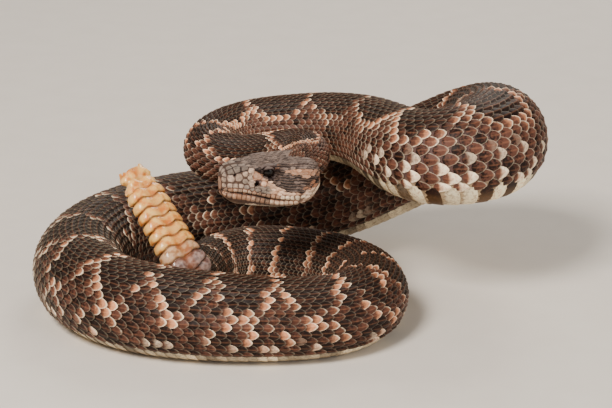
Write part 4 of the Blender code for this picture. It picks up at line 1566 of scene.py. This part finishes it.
# The studio
# A plain pale sweep of board under and behind the animal, three soft lamps and the camera, which
# stands a little above the head and looks straight at it from the front.
CAMERA_TARGET = (0.0063, -0.0062, 0.043)
CAMERA_AWAY = 0.85
CAMERA_RISE = math.radians(20)
LENS = 125
SENSOR = 36
SWEEP = ((-3.0, 0.0), (0.9, 0.0), (1.15, 0.04), (1.35, 0.14), (1.5, 0.34), (1.58, 0.65))
SWEEP += ((1.6, 1.0), (1.6, 3.2))
SWEEP_SIDE = 4.0


def build_sweep():
    """The board, which curves up behind the animal."""
    points = [(x, y, z) for y, z in SWEEP for x in (-SWEEP_SIDE, SWEEP_SIDE)]
    faces = [(2 * i, 2 * i + 1, 2 * i + 3, 2 * i + 2) for i in range(len(SWEEP) - 1)]
    sweep = make_mesh("studio_sweep", np.array(points), faces)
    sweep.data.shade_smooth()
    material, tree, shader = new_finish("pale_board")
    mottle = noise(tree, 60.0, 3.0)
    pale = blend_colours(tree, mottle, colour(214, 208, 200), colour(222, 217, 210))
    wire(tree, shader, {"Base Color": pale, "Roughness": 0.8})
    sweep.data.materials.append(material)


def add_lamp(name, place, size, power, tint):
    """A square soft lamp that points at the animal."""
    data = bpy.data.lights.new(name, "AREA")
    data.size = size
    data.energy = power
    data.color = tint
    lamp = bpy.data.objects.new(name, data)
    lamp.location = place
    aim = Vector(CAMERA_TARGET) - Vector(place)
    lamp.rotation_euler = aim.to_track_quat("-Z", "Y").to_euler()
    bpy.context.scene.collection.objects.link(lamp)


build_sweep()
add_lamp("key_lamp", (-0.45, -0.75, 0.95), 0.35, 22.0, (1.0, 0.92, 0.83))
add_lamp("fill_lamp", (0.8, -0.7, 0.5), 0.7, 4.5, (1.0, 0.94, 0.86))
add_lamp("back_lamp", (0.25, 0.85, 0.8), 0.5, 6.0, (1.0, 0.94, 0.86))
world = bpy.data.worlds.new("studio_air")
world.use_nodes = True
air = {"Color": (1.0, 0.96, 0.91, 1.0), "Strength": 0.28}
wire(world.node_tree, world.node_tree.nodes["Background"], air)
bpy.context.scene.world = world

camera_data = bpy.data.cameras.new("camera")
camera_data.lens = LENS
camera_data.sensor_width = SENSOR
camera_data.clip_start = 0.05
camera = bpy.data.objects.new("camera", camera_data)
toward = Vector((0.0, -math.cos(CAMERA_RISE), math.sin(CAMERA_RISE)))
camera.location = Vector(CAMERA_TARGET) + toward * CAMERA_AWAY
camera.rotation_euler = (math.pi / 2 - CAMERA_RISE, 0.0, 0.0)
bpy.context.scene.collection.objects.link(camera)
bpy.context.scene.camera = camera
